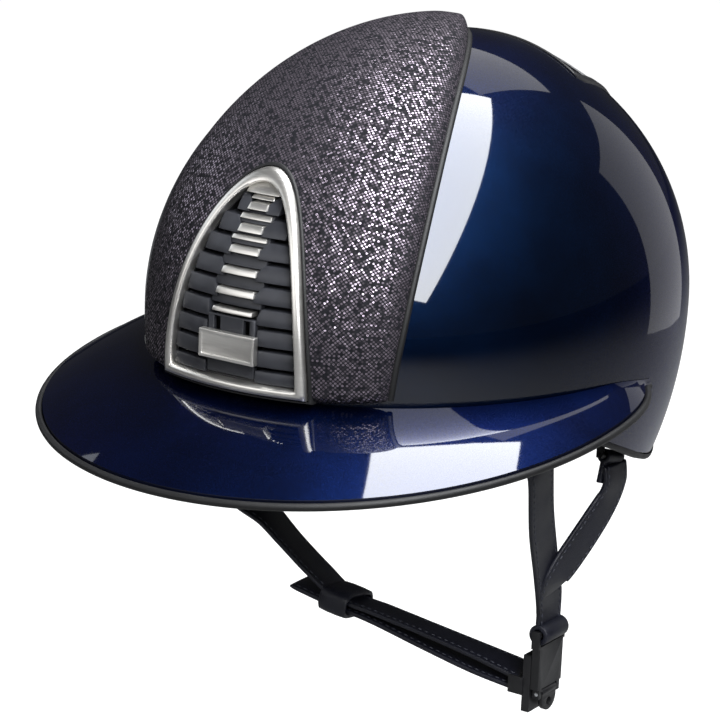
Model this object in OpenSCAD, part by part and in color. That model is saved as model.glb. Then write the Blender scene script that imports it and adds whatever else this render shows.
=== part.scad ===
// Riding helmet with a wide peak, a vented front panel and a buckled chin harness.
// Front is -Y, the wearer's left is +X, up is +Z.
// The origin is the middle of the head opening, level with the root of the peak.
// The left half of every symmetric piece is described, and the right half mirrors it.

/* [Shell] */
// Half width of the shell at its widest level
shell_w = 111; // [110:0.5:112]
// Reach of the shell ahead of the origin
shell_front = 140; // [139:0.5:141]
// Reach of the shell behind the origin
shell_rear = 129; // [128:0.5:130]
// Height of the crown above the widest level
shell_up = 116; // [115:0.5:117]
// Depth at which the side walls would close below the widest level
shell_down = 152; // [150:0.5:154]
// Height of the widest level above the origin
shell_level = 15; // [14:0.5:16]
// Wall thickness of the shell
shell_wall = 2.5; // [2:0.1:3]
// Level of the shell's edge at the forehead, negative because it is below the origin
brow_hem = -10; // [-11:0.5:-9]
// Drop of the edge from the forehead to behind the ears
ear_drop = 42; // [40:0.5:44]
// Further drop of the edge from behind the ears to the nape
nape_drop = 4; // [3:0.5:6]

/* [Liner] */
// Thickness of the impact foam
foam_wall = 21; // [20:0.5:22]
// Gap that the adhesive and the hook-and-loop discs leave on each side of the foam
foam_gap = 1.2; // [1.1:0.1:1.4]
// Thickness of the comfort padding
pad_wall = 5.5; // [5:0.5:6.5]
// Height of the padded headband
band_height = 34; // [30:1:38]

/* [Peak] */
// Thickness of the peak
peak_wall = 3.2; // [3:0.1:3.6]
// Height of the flange that holds the peak to the shell
flange_height = 6; // [5.5:0.5:6]
// Angle from straight ahead at which each end of the peak runs out
peak_end = 100; // [98:1:100]
// Radius of the bead round the edge of the peak
bead_r = 1.6; // [1.4:0.1:1.8]

/* [Front panel] */
// Greatest half width of the panel
panel_w = 62.2; // [61:0.1:63]
// Height of the panel's face above the shell
panel_rise = 6.5; // [6:0.1:7]
// Angle over the crown at which the tip of the panel ends
panel_tip = 97; // [95:1:98]

/* [Grille] */
// Half width of the grille frame at its foot
frame_w = 34.8; // [34:0.1:35.5]
// Level of the foot of the frame
frame_foot = 2; // [1.5:0.1:2.5]
// Level of the top of the frame
frame_top = 88; // [87:0.5:89]
// Height of the frame's face above the shell
frame_rise = 7.5; // [7:0.1:8]
// Distance between louvres
louvre_pitch = 8.25; // [8.1:0.05:8.3]
// Number of louvres
louvres = 9; // [8:1:9]

/* [Harness] */
// Width of the straps
strap_w = 19; // [17:0.5:20]
// Thickness of the straps
strap_t = 2.2; // [2:0.1:2.4]
// Radius of the bars that the straps hang from
bar_r = 1.5; // [1.4:0.1:1.6]
// Running clearance of a strap eye round its bar
bar_gap = 0.06; // [0.03:0.01:0.1]

/* [Hidden] */
// Number of faces round the shell and its edge
around = 60;
cavity_w = 29.6;
cavity_foot = 7;
cavity_top = 81.5;
frame_in_w = 30.3;
frame_in_foot = 6;
frame_in_top = 82.5;
shutter_w = 10.4;
shutter_foot = 9;
shutter_h = 15.2;
$fn = 32;
fit_gap = 0.3;
smooth_steps = 4;
foam_out = -shell_wall - foam_gap;
foam_in = foam_out - foam_wall;
pad_out = foam_in - foam_gap;
// Height of the edge trim's walls above the shell's edge
trim_up = 2.6;
// Depth of the liner's edge above the shell's edge
foam_lift = 6.5;
pad_in = pad_out - pad_wall;
// Cosine series of the peak's edge against the angle from straight ahead: reach, then level
peak_reach = [52, 184, -69, 37, -7];
peak_level = [-10.7, -12, -3.2, -1.1, 0];
peak_root_level = -1;
peak_screw_angles = [-58, -20, 20, 58];
peak_screw_level = -4.1;
screw_r = 1.5;
screw_head_r = 2.8;
screw_head_h = 1.4;
// Vent slider: half width, level of its foot, height and thickness
plate_w = 13.5;
plate_foot = 13.5;
plate_h = 11.5;
plate_t = 3;
guide_w = 11.5;
guide_y = 144;
guide_top = 31.2;
guide_slot_x = 7.2;
// Louvres: level of the lowest one's foot, the least level that clears the frame, and their height
louvre_foot = 4.9;
louvre_low = 6.3;
louvre_h = 5.5;
// Lowest louvre that carries a silver strip
first_inlay = 3;
// Hook-and-loop discs between the foam and the headband
fastener_level = 26;
fastener_r = 6;
fastener_h = 1.4;
// Points on the left harness, chosen by hand
front_bar = [89, -52, -24];
rear_bar = [86.6, 19, -47.7];
swing_axis = (rear_bar - front_bar) / norm(rear_bar - front_bar);
front_limb = [[92, -52.4, -32.6], [91.4, -49.3, -40], [87, -39, -62], [82, -25, -84], [78.9, -15, -102],
    [77.6, -11.3, -109.5], [77.4, -11, -115.4]];
front_limb_across = [[0, 1, 0.3], [0, 1, 0.4], [0, 1, 0.4], [0, 1, 0.5], [0, 1, 0.3], [0, 1, 0.05], [0,
    1, 0]];
rear_limb = [[90, 19.6, -54.6], [89.4, 19.2, -60], [87.4, 16.5, -67.5], [84.8, 7, -77], [84.6, -6, -85],
    [83.9, -13, -91]];
rear_limb_across = [[0, 1, -0.1], [0, 1, -0.1], [0, 1, -0.5], [0, 1, -1.2], [0, 1, -1.5], [0, 1, -1.3]];
// End of the right rear limb, which meets the chin strap further in
right_rear_end = [[86, -6, -85], [83.6, -13, -91]];
// Points on the chin strap from the buckle to the right-hand crotch, chosen by hand
chin = [[67.4, -11, -143], [46, -13, -138.5], [20, -14, -134.5], [-6, -14, -131.4], [-26, -14, -129],
    [-42, -14, -120], [-57, -15, -109], [-68, -17, -99], [-77, -21, -91], [-81.6, -24.4, -85]];
chin_across = [[0, 1, 0], [0, 1, -0.1], [0, 1, -0.15], [0, 1, -0.15], [0, 1, -0.15], [0, 1, -0.1],
    [0, 1, -0.1], [0, 1, 0], [0, 1, 0.3], [0, 1, 0.5]];
chin_roll = 8.5;
// Drop of the strap's return layer below it, from the buckle to the keeper
tail_drops = [4.9, 7, 6.2, 4.2, 4];
tail_start_gap = 0.4;
tail_tip = [-50, -16.6, -127];
// Buckle: its two plates meet face to face across X
buckle_x = 76;
buckle_y = -11;
buckle_w = 20;
buckle_t = 3.8;
outer_top = -126;
outer_foot = -146;
inner_top = -131;
inner_foot = -157;
bar_level = -121;
loop_r = 4.6;
catch_level = -133;
catch_r = 3.6;
prong_foot = -145;
prong_h = 5;
prong_w = 8.4;
prong_reach = 2.5;
tab_level = -148.4;
tab_w = 12;
chin_bar = [67.4, -145.45];
chin_bar_r = 1.2;
arm_y = strap_w / 2 + 0.9;
eye_w = 14;
tongue = 12;
keeper_at = [-26, -14, -131];
keeper_along = [46, 0, -5.5];

function unit(v) = v / norm(v);
function ease(x) = let (c = min(1, max(0, x))) c * c * (3 - 2 * c);
function half_height(z) = z > shell_level ? shell_up : shell_down;
// Latitude on the shell, raised by o, at which its level is z
function latitude(z, o = 0) = asin((z - shell_level) / (half_height(z) + o));
// Point on the shell raised by o: a turns from straight ahead to the wearer's left, t is the latitude
function dome(a, t, o = 0) =
    [(shell_w + o) * cos(t) * sin(a),
     -((abs(a) < 90 ? shell_front : shell_rear) + o) * cos(t) * cos(a),
     shell_level + ((t > 0 ? shell_up : shell_down) + o) * sin(t)];
// Point on the shell raised by o: t climbs the middle line from the brow, x is the distance to the side
function over(x, t, o = 0) =
    let (c = sqrt(1 - pow(x / (shell_w + o), 2)))
    [x, -((t < 90 ? shell_front : shell_rear) + o) * c * cos(t),
     shell_level + ((t > 0 ? shell_up : shell_down) + o) * c * sin(t)];
// Y of the shell's front face, raised by o, at x and z
function face_y(x, z, o = 0) =
    -(shell_front + o) * sqrt(1 - pow(x / (shell_w + o), 2) - pow((z - shell_level) / (half_height(z)
        + o), 2));
// Level of the shell's edge round the head
function hem(a) =
    brow_hem - ear_drop * ease((abs(a) - 40) / 85) - nape_drop * ease((abs(a) - 125) / 55);
// Half width of the front panel along the middle line
function panel_half(t) =
    t < 15 ? panel_w - 2.8 * pow((15 - t) / 20, 2) : panel_w * pow(1 - pow((t - 15) / (panel_tip - 15),
        2.1), 0.8);
// Half width of an arch of foot width w between two levels
function arch_half(w, foot, top, z) = w * pow(max(0, 1 - pow((z - foot) / (top - foot), 1.75)), 0.5);
// Outline of such an arch, anticlockwise from the middle of its foot, with n points up each side
function arch(w, foot, top, n = 20) = concat(
    [for (k = [0:3]) [w * k / 4, foot]],
    [for (k = [0:n]) let (z = foot + (top - foot) * sin(90 * k / n)) [arch_half(w, foot, top, z), z]],
    [for (k = [n - 1:-1:0]) let (z = foot + (top - foot) * sin(90 * k / n)) [-arch_half(w, foot, top, z), z]],
    [for (k = [3:-1:1]) [-w * k / 4, foot]]);
function series(c, a) = c[0] + c[1] * cos(a) + c[2] * cos(2 * a) + c[3] * cos(3 * a) + c[4] * cos(4 * a);
// Distance from the Z axis to the shell, raised by o, in direction a at level z
function dome_reach(a, z, o = 0) =
    cos(latitude(z, o)) / sqrt(pow(sin(a) / (shell_w + o), 2)
        + pow(cos(a) / ((abs(a) < 90 ? shell_front : shell_rear) + o), 2));
function polar(a, r, z) = [r * sin(a), -r * cos(a), z];
// Catmull-Rom curve through p, with a point at each end kept
function curve_point(p, i, s) =
    let (a = p[max(i - 1, 0)], b = p[i], c = p[i + 1], d = p[min(i + 2, len(p) - 1)])
    (2 * b + (c - a) * s + (2 * a - 5 * b + 4 * c - d) * s * s + (3 * b - a - 3 * c + d) * s * s * s) / 2;
function curve(p) = concat(
    [for (i = [0:len(p) - 2], k = [0:smooth_steps - 1]) curve_point(p, i, k / smooth_steps)], [p[len(p)
        - 1]]);
function tangent(p, i) = unit(p[min(i + 1, len(p) - 1)] - p[max(i - 1, 0)]);
function ribbon_ring(p, i, side, w, t) =
    let (n = unit(cross(tangent(p, i), side)), s = unit(cross(n, tangent(p, i))))
    [p[i] + s * w / 2 + n * t / 2, p[i] - s * w / 2 + n * t / 2,
     p[i] - s * w / 2 - n * t / 2, p[i] + s * w / 2 - n * t / 2];
function flip(p) = [for (v = p) [-v[0], v[1], v[2]]];
function flip_across(p) = [for (v = p) -[-v[0], v[1], v[2]]];

function total(v, i = 0) = i == len(v) - 1 ? v[i] : v[i] + total(v, i + 1);
function centre(r) = total(r) / len(r);
function ring_normal(r) = total([for (i = [1:len(r) - 2]) cross(r[i] - r[0], r[i + 1] - r[0])]);
// The rings with each one's points in the order that makes a solid's faces look outwards
function outward(rings) = ring_normal(rings[0]) * (centre(rings[1]) - centre(rings[0])) < 0 ? rings
    : [for (r = rings) [for (k = [len(r) - 1:-1:0]) r[k]]];

// Side faces between rings of n points each, joined round
function side_faces(n, rings) = [for (i = [0:rings - 2], j = [0:n - 1])
    let (a = i * n + j, b = i * n + (j + 1) % n, c = a + n, d = b + n) each [[a, b, d], [a, d, c]]];

// Solid through a row of rings, flat at both ends
module lofted(rings) {
    n = len(rings[0]);
    m = len(rings);
    polyhedron(points = [for (r = outward(rings), v = r) v],
        faces = concat(side_faces(n, m), [[for (j = [n - 1:-1:0]) j]], [[for (j = [0:n - 1]) (m - 1)
            * n + j]]));
}

// Solid through a row of rings that starts and ends in a point
module domed(first, rings, last) {
    n = len(rings[0]);
    m = len(rings);
    polyhedron(points = concat([for (r = outward(rings), v = r) v], [first, last]),
        faces = concat(side_faces(n, m), [for (j = [0:n - 1]) [(j + 1) % n, j, n * m]],
            [for (j = [0:n - 1]) [(m - 1) * n + j, (m - 1) * n + (j + 1) % n, n * m + 1]]));
}

// Solid through rings whose last joins the first
module looped(rings) {
    n = len(rings[0]);
    m = len(rings);
    polyhedron(points = [for (r = outward(rings), v = r) v],
        faces = [for (i = [0:m - 1], j = [0:n - 1])
            let (a = i * n + j, b = i * n + (j + 1) % n, c = ((i + 1) % m) * n + j, d = ((i + 1) % m)
                * n + (j + 1) % n)
            each [[a, b, d], [a, d, c]]]);
}

// Flat strap along a smooth curve through p
module ribbon(p, across, w = strap_w, t = strap_t) {
    q = curve(p);
    s = curve(across);
    lofted([for (i = [0:len(q) - 1]) ribbon_ring(q, i, s[i], w, t)]);
}

// Layer over the head between two heights on the shell, from the crown down to a hem lifted by up
module dome_layer(out, in, up, around, rows) {
    function ring(o, k) = [for (j = [0:around - 1])
        let (a = 180 - 360 * j / around, low = latitude(hem(a) + up, o)) dome(a, low + (90 - low)
            * k / rows, o)];
    domed(dome(0, 90, out), concat([for (k = [rows - 1:-1:0]) ring(out, k)], [for (k = [0:rows - 1])
        ring(in, k)]),
        dome(0, 90, in));
}

// Upright prism through the face of the helmet with an outline in X and Z
module through_front(outline) {
    translate([0, -90, 0]) rotate([90, 0, 0]) linear_extrude(80) polygon(outline);
}

// Half width of the rear vent, seen from above, at distance y behind the origin
function rear_half(y, s = 0) = 57 - s - 21 * pow(max(0, (y - 30) / 74), 1.5);
// Outline of the rear vent seen from above, shrunk by s
function rear_outline(s = 0) = concat(
    [for (k = [-4:4]) let (x = k * (55 - s) / 4) [x, 36 + s - 10 * pow(k / 4, 2)]],
    [for (k = [0:6]) let (y = 30 + s + (74 - 2 * s) * k / 6) [rear_half(y, s), y]],
    [for (k = [3:-1:-3]) [k * (rear_half(104 - s, s) - 4) / 3, 106 - s]],
    [for (k = [6:-1:0]) let (y = 30 + s + (74 - 2 * s) * k / 6) [-rear_half(y, s), y]]);

// Level of the shell's rear, raised by o, at x and y
function crown_z(x, y, o = 0) =
    shell_level + (shell_up + o) * sqrt(1 - pow(x / (shell_w + o), 2) - pow(y / (shell_rear + o), 2));

module outer_shell() {
    color("midnightblue") difference() {
        dome_layer(0, -shell_wall, 0, around, 14);
        through_front(arch(33, 3.5, 85.5));
        translate([0, 0, 60]) linear_extrude(90) polygon(rear_outline());
        for (a = peak_screw_angles) peak_screw_place(a) translate([0, 0, -6]) cylinder(h = 12,
            r = screw_r + 0.2);
    }
}

// Frame of a peak screw: Z points outwards through the shell's wall
module peak_screw_place(a) {
    translate(polar(a, dome_reach(a, peak_screw_level, -shell_wall), peak_screw_level)) rotate([0, 0, a])
        rotate([90, 0, 0])
        children();
}

module shell_edge_trim() {
    inside = -shell_wall - 0.4;
    function section(a) = [for (v = [[1.1, trim_up], [1.1, -1.2], [0.5, -1.8], [inside - 0.3, -1.8],
        [inside - 0.9, -1.2],
            [inside - 0.9, trim_up], [inside, trim_up], [inside, -0.3], [0.25, -0.3], [0.25, trim_up]])
        dome(a, latitude(hem(a) + v[1], v[0]), v[0])];
    color("black") looped([for (k = [0:around - 1]) section(180 - 360 * k / around)]);
}

module foam_liner() {
    color("dimgray") difference() {
        dome_layer(foam_out, foam_in, foam_lift, 48, 12);
        for (x = [-16, 0, 16]) translate([x - 4, -150, 26]) cube([8, 60, 38]);
        for (x = [-18, 18]) translate([x - 6, 62, 50]) cube([12, 34, 80]);
        for (side = [0, 1]) mirror([side, 0, 0]) {
            translate([82, -66, -40]) cube([30, 28, 40]);
            translate([82, 5, -60]) cube([30, 28, 40]);
        }
        for (a = peak_screw_angles) peak_screw_place(a) translate([0, 0, -4.5]) cylinder(h = 6,
            r = screw_head_r + 0.6);
        fastener_places() translate([0, 0, -3]) cylinder(h = 3 + fastener_h + 0.3, r = fastener_r + 0.2);
    }
}

// Reach of the peak's outer edge, which runs out into a narrow ledge at its ends
function edge_reach(a) = max(series(peak_reach, a), dome_reach(a, -6, fit_gap) + 4.6);

module peak() {
    function section(a) = let (
            low = peak_root_level - 5 * ease((abs(a) - 75) / 25), near = dome_reach(a, low, fit_gap),
            far = edge_reach(a) - 2 * bead_r + 0.1, end = series(peak_level, a) + 1,
            root = min(3, (far - near) / 2),
            thick = peak_wall * (1 - 0.5 * ease((abs(a) - 85) / 15)),
            flange = min(flange_height, low - hem(a) - trim_up - 0.4) * (1 - 0.6 * ease((abs(a) - 75) / 25)),
            under = dome_reach(a, low - flange, fit_gap))
        concat([for (u = [0:0.2:1]) polar(a, near + (far - near) * u, low + (end - low) * u + 7 * u * (1 - u)
                * min(1, (far - near) / 40))],
            [for (u = [1:-0.2:0.19]) polar(a, near + root + (far - near - root) * u, low + (end - low)
                * u - thick
                + 7 * u * (1 - u) * min(1, (far - near) / 40))],
            [polar(a, max(under, near) + root, low - flange), polar(a, under, low - flange)]);
    color("midnightblue") difference() {
        lofted([for (k = [0:46]) section(-peak_end + 2 * peak_end * k / 46)]);
        for (a = peak_screw_angles) peak_screw_place(a) cylinder(h = 5, r = screw_r);
    }
}

module peak_edge_bead() {
    function section(a) = let (r = edge_reach(a) - bead_r, z = series(peak_level, a) - 1.4)
        [for (k = [0:7]) polar(a, r + bead_r * cos(22.5 - 45 * k), z + bead_r * sin(22.5 - 45 * k))];
    color("black") lofted([for (k = [0:46]) section(-peak_end + 2 * peak_end * k / 46)]);
}

module peak_screws() {
    color("dimgray") for (a = peak_screw_angles) peak_screw_place(a) {
        translate([0, 0, -screw_head_h - 1]) cylinder(h = screw_head_h, r = screw_head_r);
        translate([0, 0, -1.1]) cylinder(h = 5.8, r = screw_r - 0.02);
    }
}

module front_panel() {
    // Height of the skin across the panel: round at the edges
    function rise(u) = 1.2 + (panel_rise - 1.2) * pow(1 - pow(abs(u), 8), 0.4);
    across = [-1, -0.985, -0.94, -0.8, -0.6, -0.4, -0.2, 0, 0.2, 0.4, 0.6, 0.8, 0.94, 0.985, 1];
    function row(t, lift) = concat([for (u = across) over(panel_half(t) * u, t, fit_gap + (rise(u)
        - fit_gap) * lift)],
        [for (k = [14:-1:0]) over(panel_half(t) * across[k], t, fit_gap)]);
    color("#2b2a30") difference() {
        lofted(concat([row(-5.6, 0.9)], [for (t = [-4:4.5:90]) row(t, 1)], [row(93, 1), row(95.5, 0.9),
            row(96.8, 0.5)]));
        through_front(arch(frame_w + 1.2, frame_foot - 1, frame_top + 1.2));
    }
}

module grille_frame() {
    outside = arch(frame_w, frame_foot, frame_top);
    inside = arch(frame_in_w, frame_in_foot, frame_in_top);
    function at(k, s, o) = let (p = outside[k] * (1 - s) + inside[k] * s) [p[0], face_y(p[0], p[1], o), p[1]];
    color("silver") looped([for (k = [0:len(outside) - 1])
        [at(k, 0, 0.4), at(k, 0, frame_rise - 1.5), at(k, 0.25, frame_rise), at(k, 0.7, frame_rise),
         at(k, 1, frame_rise - 1.8), at(k, 1, 0.4)]]);
}

// Curved slat between two levels: heights above the shell at its foot and head, front and back.
// It runs from x0 to w on both sides, or right across where x0 is 0, and narrows by taper at its head.
module slat(z0, z1, w, front, back, x0, taper = 0) {
    for (side = x0 > 0 ? [-1, 1] : [0]) {
        from = side == 0 ? -w : side > 0 ? x0 : -w;
        to = side == 0 ? w : side > 0 ? w : -x0;
        lofted([for (k = [0:8]) let (x = from + (to - from) * k / 8, u = x * (1 - taper / w))
            [[x, face_y(x, z0, back[0]), z0], [x, face_y(x, z0, front[0]), z0],
             [u, face_y(u, z1, front[1]), z1], [u, face_y(u, z1, back[1]), z1]]]);
    }
}

function louvre_level(k) = louvre_foot + louvre_pitch * k;
// Half width of the low middle part of a louvre at level z
function louvre_middle(z) = z < guide_top ? guide_w + 0.7 : 12.7 - 0.085 * (z - 10)
    - 0.00055 * pow(z - 10, 2);

module grille_louvres() {
    outside = arch(32.4, 4.2, 84.6);
    inside = arch(cavity_w, cavity_foot, cavity_top);
    function at(k, s, o) = let (p = outside[k] * (1 - s) + inside[k] * s) [p[0], face_y(p[0], p[1], o), p[1]];
    color("#1c1c20") {
        looped([for (k = [0:len(outside) - 1]) [at(k, 0, -2.4), at(k, 0, 0.1), at(k, 1, 0.1), at(k, 1,
            -2.4)]]);
        for (k = [0:louvres - 1]) {
            z = louvre_level(k);
            slat(max(louvre_low, z), z + louvre_h, arch_half(cavity_w, cavity_foot, cavity_top,
                z + louvre_h) + 0.6, [4.6, 3], [0.6, -1.2],
                louvre_middle(z));
            if (k >= first_inlay) slat(max(guide_top + 0.5, z), z + louvre_h, louvre_middle(z) + 0.5,
                [2.2, 1.4],
                [0.6, -1.2], 0);
        }
    }
}

module louvre_inlays() {
    color("silver") {
        for (k = [first_inlay:louvres - 1]) let (z = louvre_level(k), foot = max(guide_top + 0.5, z + 1.5))
            slat(foot, z + 3.7, 9.8 - 1.05 * (k - first_inlay), [4.8, 4.2], [2.25, 2.25], 0);
        slat(77.8, 80.6, 8, [5.2, 4.4], [0.8, 0.6], 0, 4.6);
    }
}

// Plate that the vent slider runs on, with two slots that let air in and take the slider's stems
module slider_guide() {
    color("#1c1c20") difference() {
        translate([-guide_w, -guide_y, 7.2]) cube([2 * guide_w, 2.4, guide_top - 7.2]);
        for (x = [-guide_slot_x, guide_slot_x]) translate([x - 1.6, -guide_y - 1, 14]) cube([3.2, 6,
            guide_top - 14.8]);
    }
}

module vent_slider() {
    color("silver") {
        difference() {
            translate([-plate_w, -guide_y - 0.4 - plate_t, plate_foot]) cube([2 * plate_w, plate_t, plate_h]);
            translate([-plate_w + 1.4, -guide_y - 0.5 - plate_t, plate_foot + 1.4])
                cube([2 * plate_w - 2.8, 0.6, plate_h - 2.8]);
        }
        for (x = [-guide_slot_x, guide_slot_x]) translate([x - 1.2, -guide_y - 0.5, plate_foot + 3])
            cube([2.4, 3.2, 5]);
    }
}

module vent_shutter() {
    color("#1c1c20") translate([-shutter_w, -guide_y + 2.7, shutter_foot]) cube([2 * shutter_w, 0.9,
        shutter_h]);
}

module vent_mesh() {
    function row(z) = let (w = arch_half(29.2, 7.4, 81, z) - 0.5) concat(
        [for (k = [-5:5]) [w * k / 5, face_y(w * k / 5, z, -1.7), z]],
        [for (k = [5:-1:-5]) [w * k / 5, face_y(w * k / 5, z, -2.4), z]]);
    color("#1c1c20") lofted([for (z = [8:6:74]) row(z)]);
}

module rear_vent_frame() {
    outside = rear_outline(0.5);
    inside = rear_outline(6);
    function at(p, o) = [p[0], p[1], crown_z(p[0], p[1], o)];
    color("black") looped([for (k = [0:len(outside) - 1])
        [at(outside[k], -2.3), at(outside[k], -0.2), at(inside[k], 0.3), at(inside[k], -2.3)]]);
}

module rear_vent_slats() {
    function at(x, v, o) = [x, v, crown_z(x, v, o)];
    color("black") for (k = [0:4]) {
        y = 46 + 11.4 * k;
        w = rear_half(y + 4, 6) - 0.6;
        lofted([for (s = [-1:0.25:1])
            [at(w * s, y, -2.2), at(w * s, y, -0.2), at(w * s, y + 4.6, -0.6), at(w * s, y + 4.6, -2.4)]]);
    }
}

module headband_pad() {
    function section(a) = let (z = hem(a) + 9 + 10 * ease((abs(a) - 40) / 60)) [
        dome(a, latitude(z + 3, pad_out), pad_out), dome(a, latitude(z, pad_out), pad_out - 2),
        dome(a, latitude(z, pad_in), pad_in + 2), dome(a, latitude(z + 4, pad_in), pad_in),
        dome(a, latitude(z + band_height - 4, pad_in), pad_in),
        dome(a, latitude(z + band_height, pad_out), pad_in + 2), dome(a, latitude(z + band_height,
            pad_out), pad_out)];
    color("#202024") looped([for (k = [0:47]) section(180 - 360 * k / 48)]);
}

module crown_pad() {
    function ring(o, t) = [for (j = [0:27]) dome(180 - 360 * j / 28, t, o)];
    color("#202024") domed(dome(0, 90, pad_out), [ring(pad_out, 80), ring(pad_out, 70), ring(pad_out, 60),
        ring(pad_out - 2, 58), ring(pad_in + 1, 58), ring(pad_in, 62), ring(pad_in, 72), ring(pad_in,
            81)], dome(0, 90, pad_in));
}

// Flat pad against the foam between two directions and two levels above the shell's edge
module lower_pad(a0, a1, low, high) {
    color("#202024") lofted([for (k = [10:-1:0]) let (a = a0 + (a1 - a0) * k / 10, z0 = hem(a) + low,
        z1 = hem(a) + high)
        [dome(a, latitude(z0, pad_out), pad_out), dome(a, latitude(z1, pad_out), pad_out),
         dome(a, latitude(z1, pad_out), pad_in + 1), dome(a, latitude(z0, pad_out), pad_in + 1)]]);
}

module nape_pad() {
    lower_pad(140, 179.9, 7, 15.5);
    lower_pad(-179.9, -140, 7, 15.5);
}

module left_side_pad() {
    lower_pad(103, 130, 7.5, 15.5);
}

module right_side_pad() {
    lower_pad(-130, -103, 7.5, 15.5);
}

// Frames of the hook-and-loop discs: Z points outwards from the foam's inner face
module fastener_places() {
    for (a = [-150, -90, -30, 30, 90, 150]) translate(dome(a, latitude(fastener_level, foam_in), foam_in))
        rotate([0, 0, a]) rotate([90, 0, 0]) children();
}

module pad_fasteners() {
    color("black") fastener_places() cylinder(h = fastener_h, r = fastener_r);
}

// Runs its children in the frame of a bar: Z along the swing axis, on the left side
module on_axis(p) {
    translate(p) rotate([0, acos(swing_axis[2]), atan2(swing_axis[1], swing_axis[0])]) children();
}

module both_sides() {
    children();
    mirror([1, 0, 0]) children();
}

// X of the shell's inner wall beside an anchor screw on the left
function wall_x(p) = let (z = p[2] + 12, o = -shell_wall)
    (shell_w + o) * sqrt(1 - pow(p[1] / ((p[1] < 0 ? shell_front : shell_rear) + o), 2)
        - pow((z - shell_level) / (shell_down + o), 2));

module strap_anchors() {
    color("dimgray") both_sides() for (p = [front_bar, rear_bar]) {
        on_axis(p) translate([0, 0, -11]) cylinder(h = 22, r = bar_r);
        difference() {
            union() {
                translate(p + [-1.5, -10, 6.6]) cube([3, 20, 10.8]);
                translate(p + [0, 0, 12]) rotate([0, 90, 0]) cylinder(h = wall_x(p) - p[0] - 2.2, r = 4.5);
            }
            translate(p + [-3, 0, 12]) rotate([0, 90, 0]) cylinder(h = 30, r = screw_r + 0.02);
        }
        for (s = [-1, 1]) translate(p + [-1.5, s * 9.2 - 1, -s * 3.3 - 1.5]) cube([3, 2, 9 + s * 3.3]);
    }
}

module anchor_screws() {
    color("dimgray") both_sides() for (p = [front_bar, rear_bar]) translate(p + [-3, 0, 12]) rotate([0,
        90, 0]) {
        cylinder(h = 1.4, r = screw_head_r);
        cylinder(h = wall_x(p) - p[0] + 0.8, r = screw_r);
    }
}

// Sewn eyes round the bars, each with a tongue that its strap lies on
module eyes() {
    for (p = [front_bar, rear_bar]) on_axis(p) translate([0, 0, -eye_w / 2]) difference() {
        union() {
            cylinder(h = eye_w, r = bar_r + bar_gap + 1.6);
            translate([0, -strap_t / 2, 0]) cube([tongue, strap_t, eye_w]);
        }
        translate([0, 0, -1]) cylinder(h = eye_w + 2, r = bar_r + bar_gap);
    }
}

module left_strap_eyes() {
    color("black") eyes();
}

module right_strap_eyes() {
    color("black") mirror([1, 0, 0]) eyes();
}

module left_front_strap() {
    color("#15151a") ribbon(front_limb, front_limb_across);
}

module left_rear_strap() {
    color("#15151a") ribbon(rear_limb, rear_limb_across);
}

module right_front_strap() {
    color("#15151a") ribbon(flip([for (i = [0:3]) front_limb[i]]), flip_across(front_limb_across));
}

module right_rear_strap() {
    color("#15151a") ribbon(flip(concat([for (i = [0:3]) rear_limb[i]], right_rear_end)),
        flip_across(rear_limb_across));
}

// End of the left strap, sewn back on itself round the buckle's bar
module left_strap_loop() {
    color("#15151a") translate([buckle_x + 2.2, buckle_y - strap_w / 2, bar_level]) rotate([-90, 0, 0])
        difference() {
        cylinder(h = strap_w, r = loop_r);
        translate([0, 0, -1]) cylinder(h = strap_w + 2, r = loop_r - strap_t);
    }
}

module buckle_outer() {
    x = buckle_x + 0.15;
    color("#1c1c20") {
        difference() {
            translate([x, buckle_y - buckle_w / 2, outer_foot]) cube([buckle_t, buckle_w,
                outer_top - outer_foot]);
            translate([x - 1, buckle_y - prong_w / 2 - 2.2, outer_foot - 1])
                cube([prong_reach + 1.4, prong_w + 3, prong_foot + prong_h + 1.4 - outer_foot + 1]);
            translate([x - 1, buckle_y, catch_level]) rotate([0, 90, 0]) cylinder(h = 2.6, r = catch_r);
        }
        for (s = [-1, 1]) translate([x, buckle_y + s * (buckle_w / 2 + 0.4) - 0.8, bar_level - 6])
            cube([buckle_t, 1.6, 8]);
        translate([x + 2.05, buckle_y - buckle_w / 2 - 0.6, bar_level]) rotate([-90, 0, 0])
            cylinder(h = buckle_w + 1.2, r = 1.8);
        for (s = [-1, 1]) difference() {
            translate([x + 0.6, buckle_y + s * (tab_w / 2 + 1.6) - 1.2, tab_level - 2])
                cube([buckle_t - 0.6, 2.4, 5]);
            translate([x + 2.3, buckle_y - 14, tab_level]) rotate([-90, 0, 0]) cylinder(h = 28, r = 1.02);
        }
    }
}

module buckle_magnet() {
    color("silver") translate([buckle_x + 0.25, buckle_y, catch_level]) rotate([0, 90, 0])
        cylinder(h = 1.5, r = catch_r - 0.02);
}

module release_tab() {
    x = buckle_x + 2.45;
    color("#1c1c20") difference() {
        union() {
            translate([x, buckle_y - tab_w / 2, tab_level]) rotate([-90, 0, 0]) cylinder(h = tab_w, r = 1.9);
            difference() {
                translate([x - 0.4, buckle_y, tab_level - 3]) rotate([0, 90, 0]) cylinder(h = 2,
                    r = tab_w / 2);
                translate([x - 1, buckle_y - tab_w, tab_level]) cube([4, 2 * tab_w, tab_w]);
            }
        }
        translate([x, buckle_y - 9, tab_level]) rotate([-90, 0, 0]) cylinder(h = 18, r = 1.06);
        translate([x - 2, buckle_y, tab_level - 5]) rotate([0, 90, 0]) cylinder(h = 6, r = 1.9);
    }
}

module release_pin() {
    color("silver") translate([buckle_x + 2.45, buckle_y - 8.6, tab_level]) rotate([-90, 0, 0])
        cylinder(h = 17.2, r = 1);
}

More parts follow.
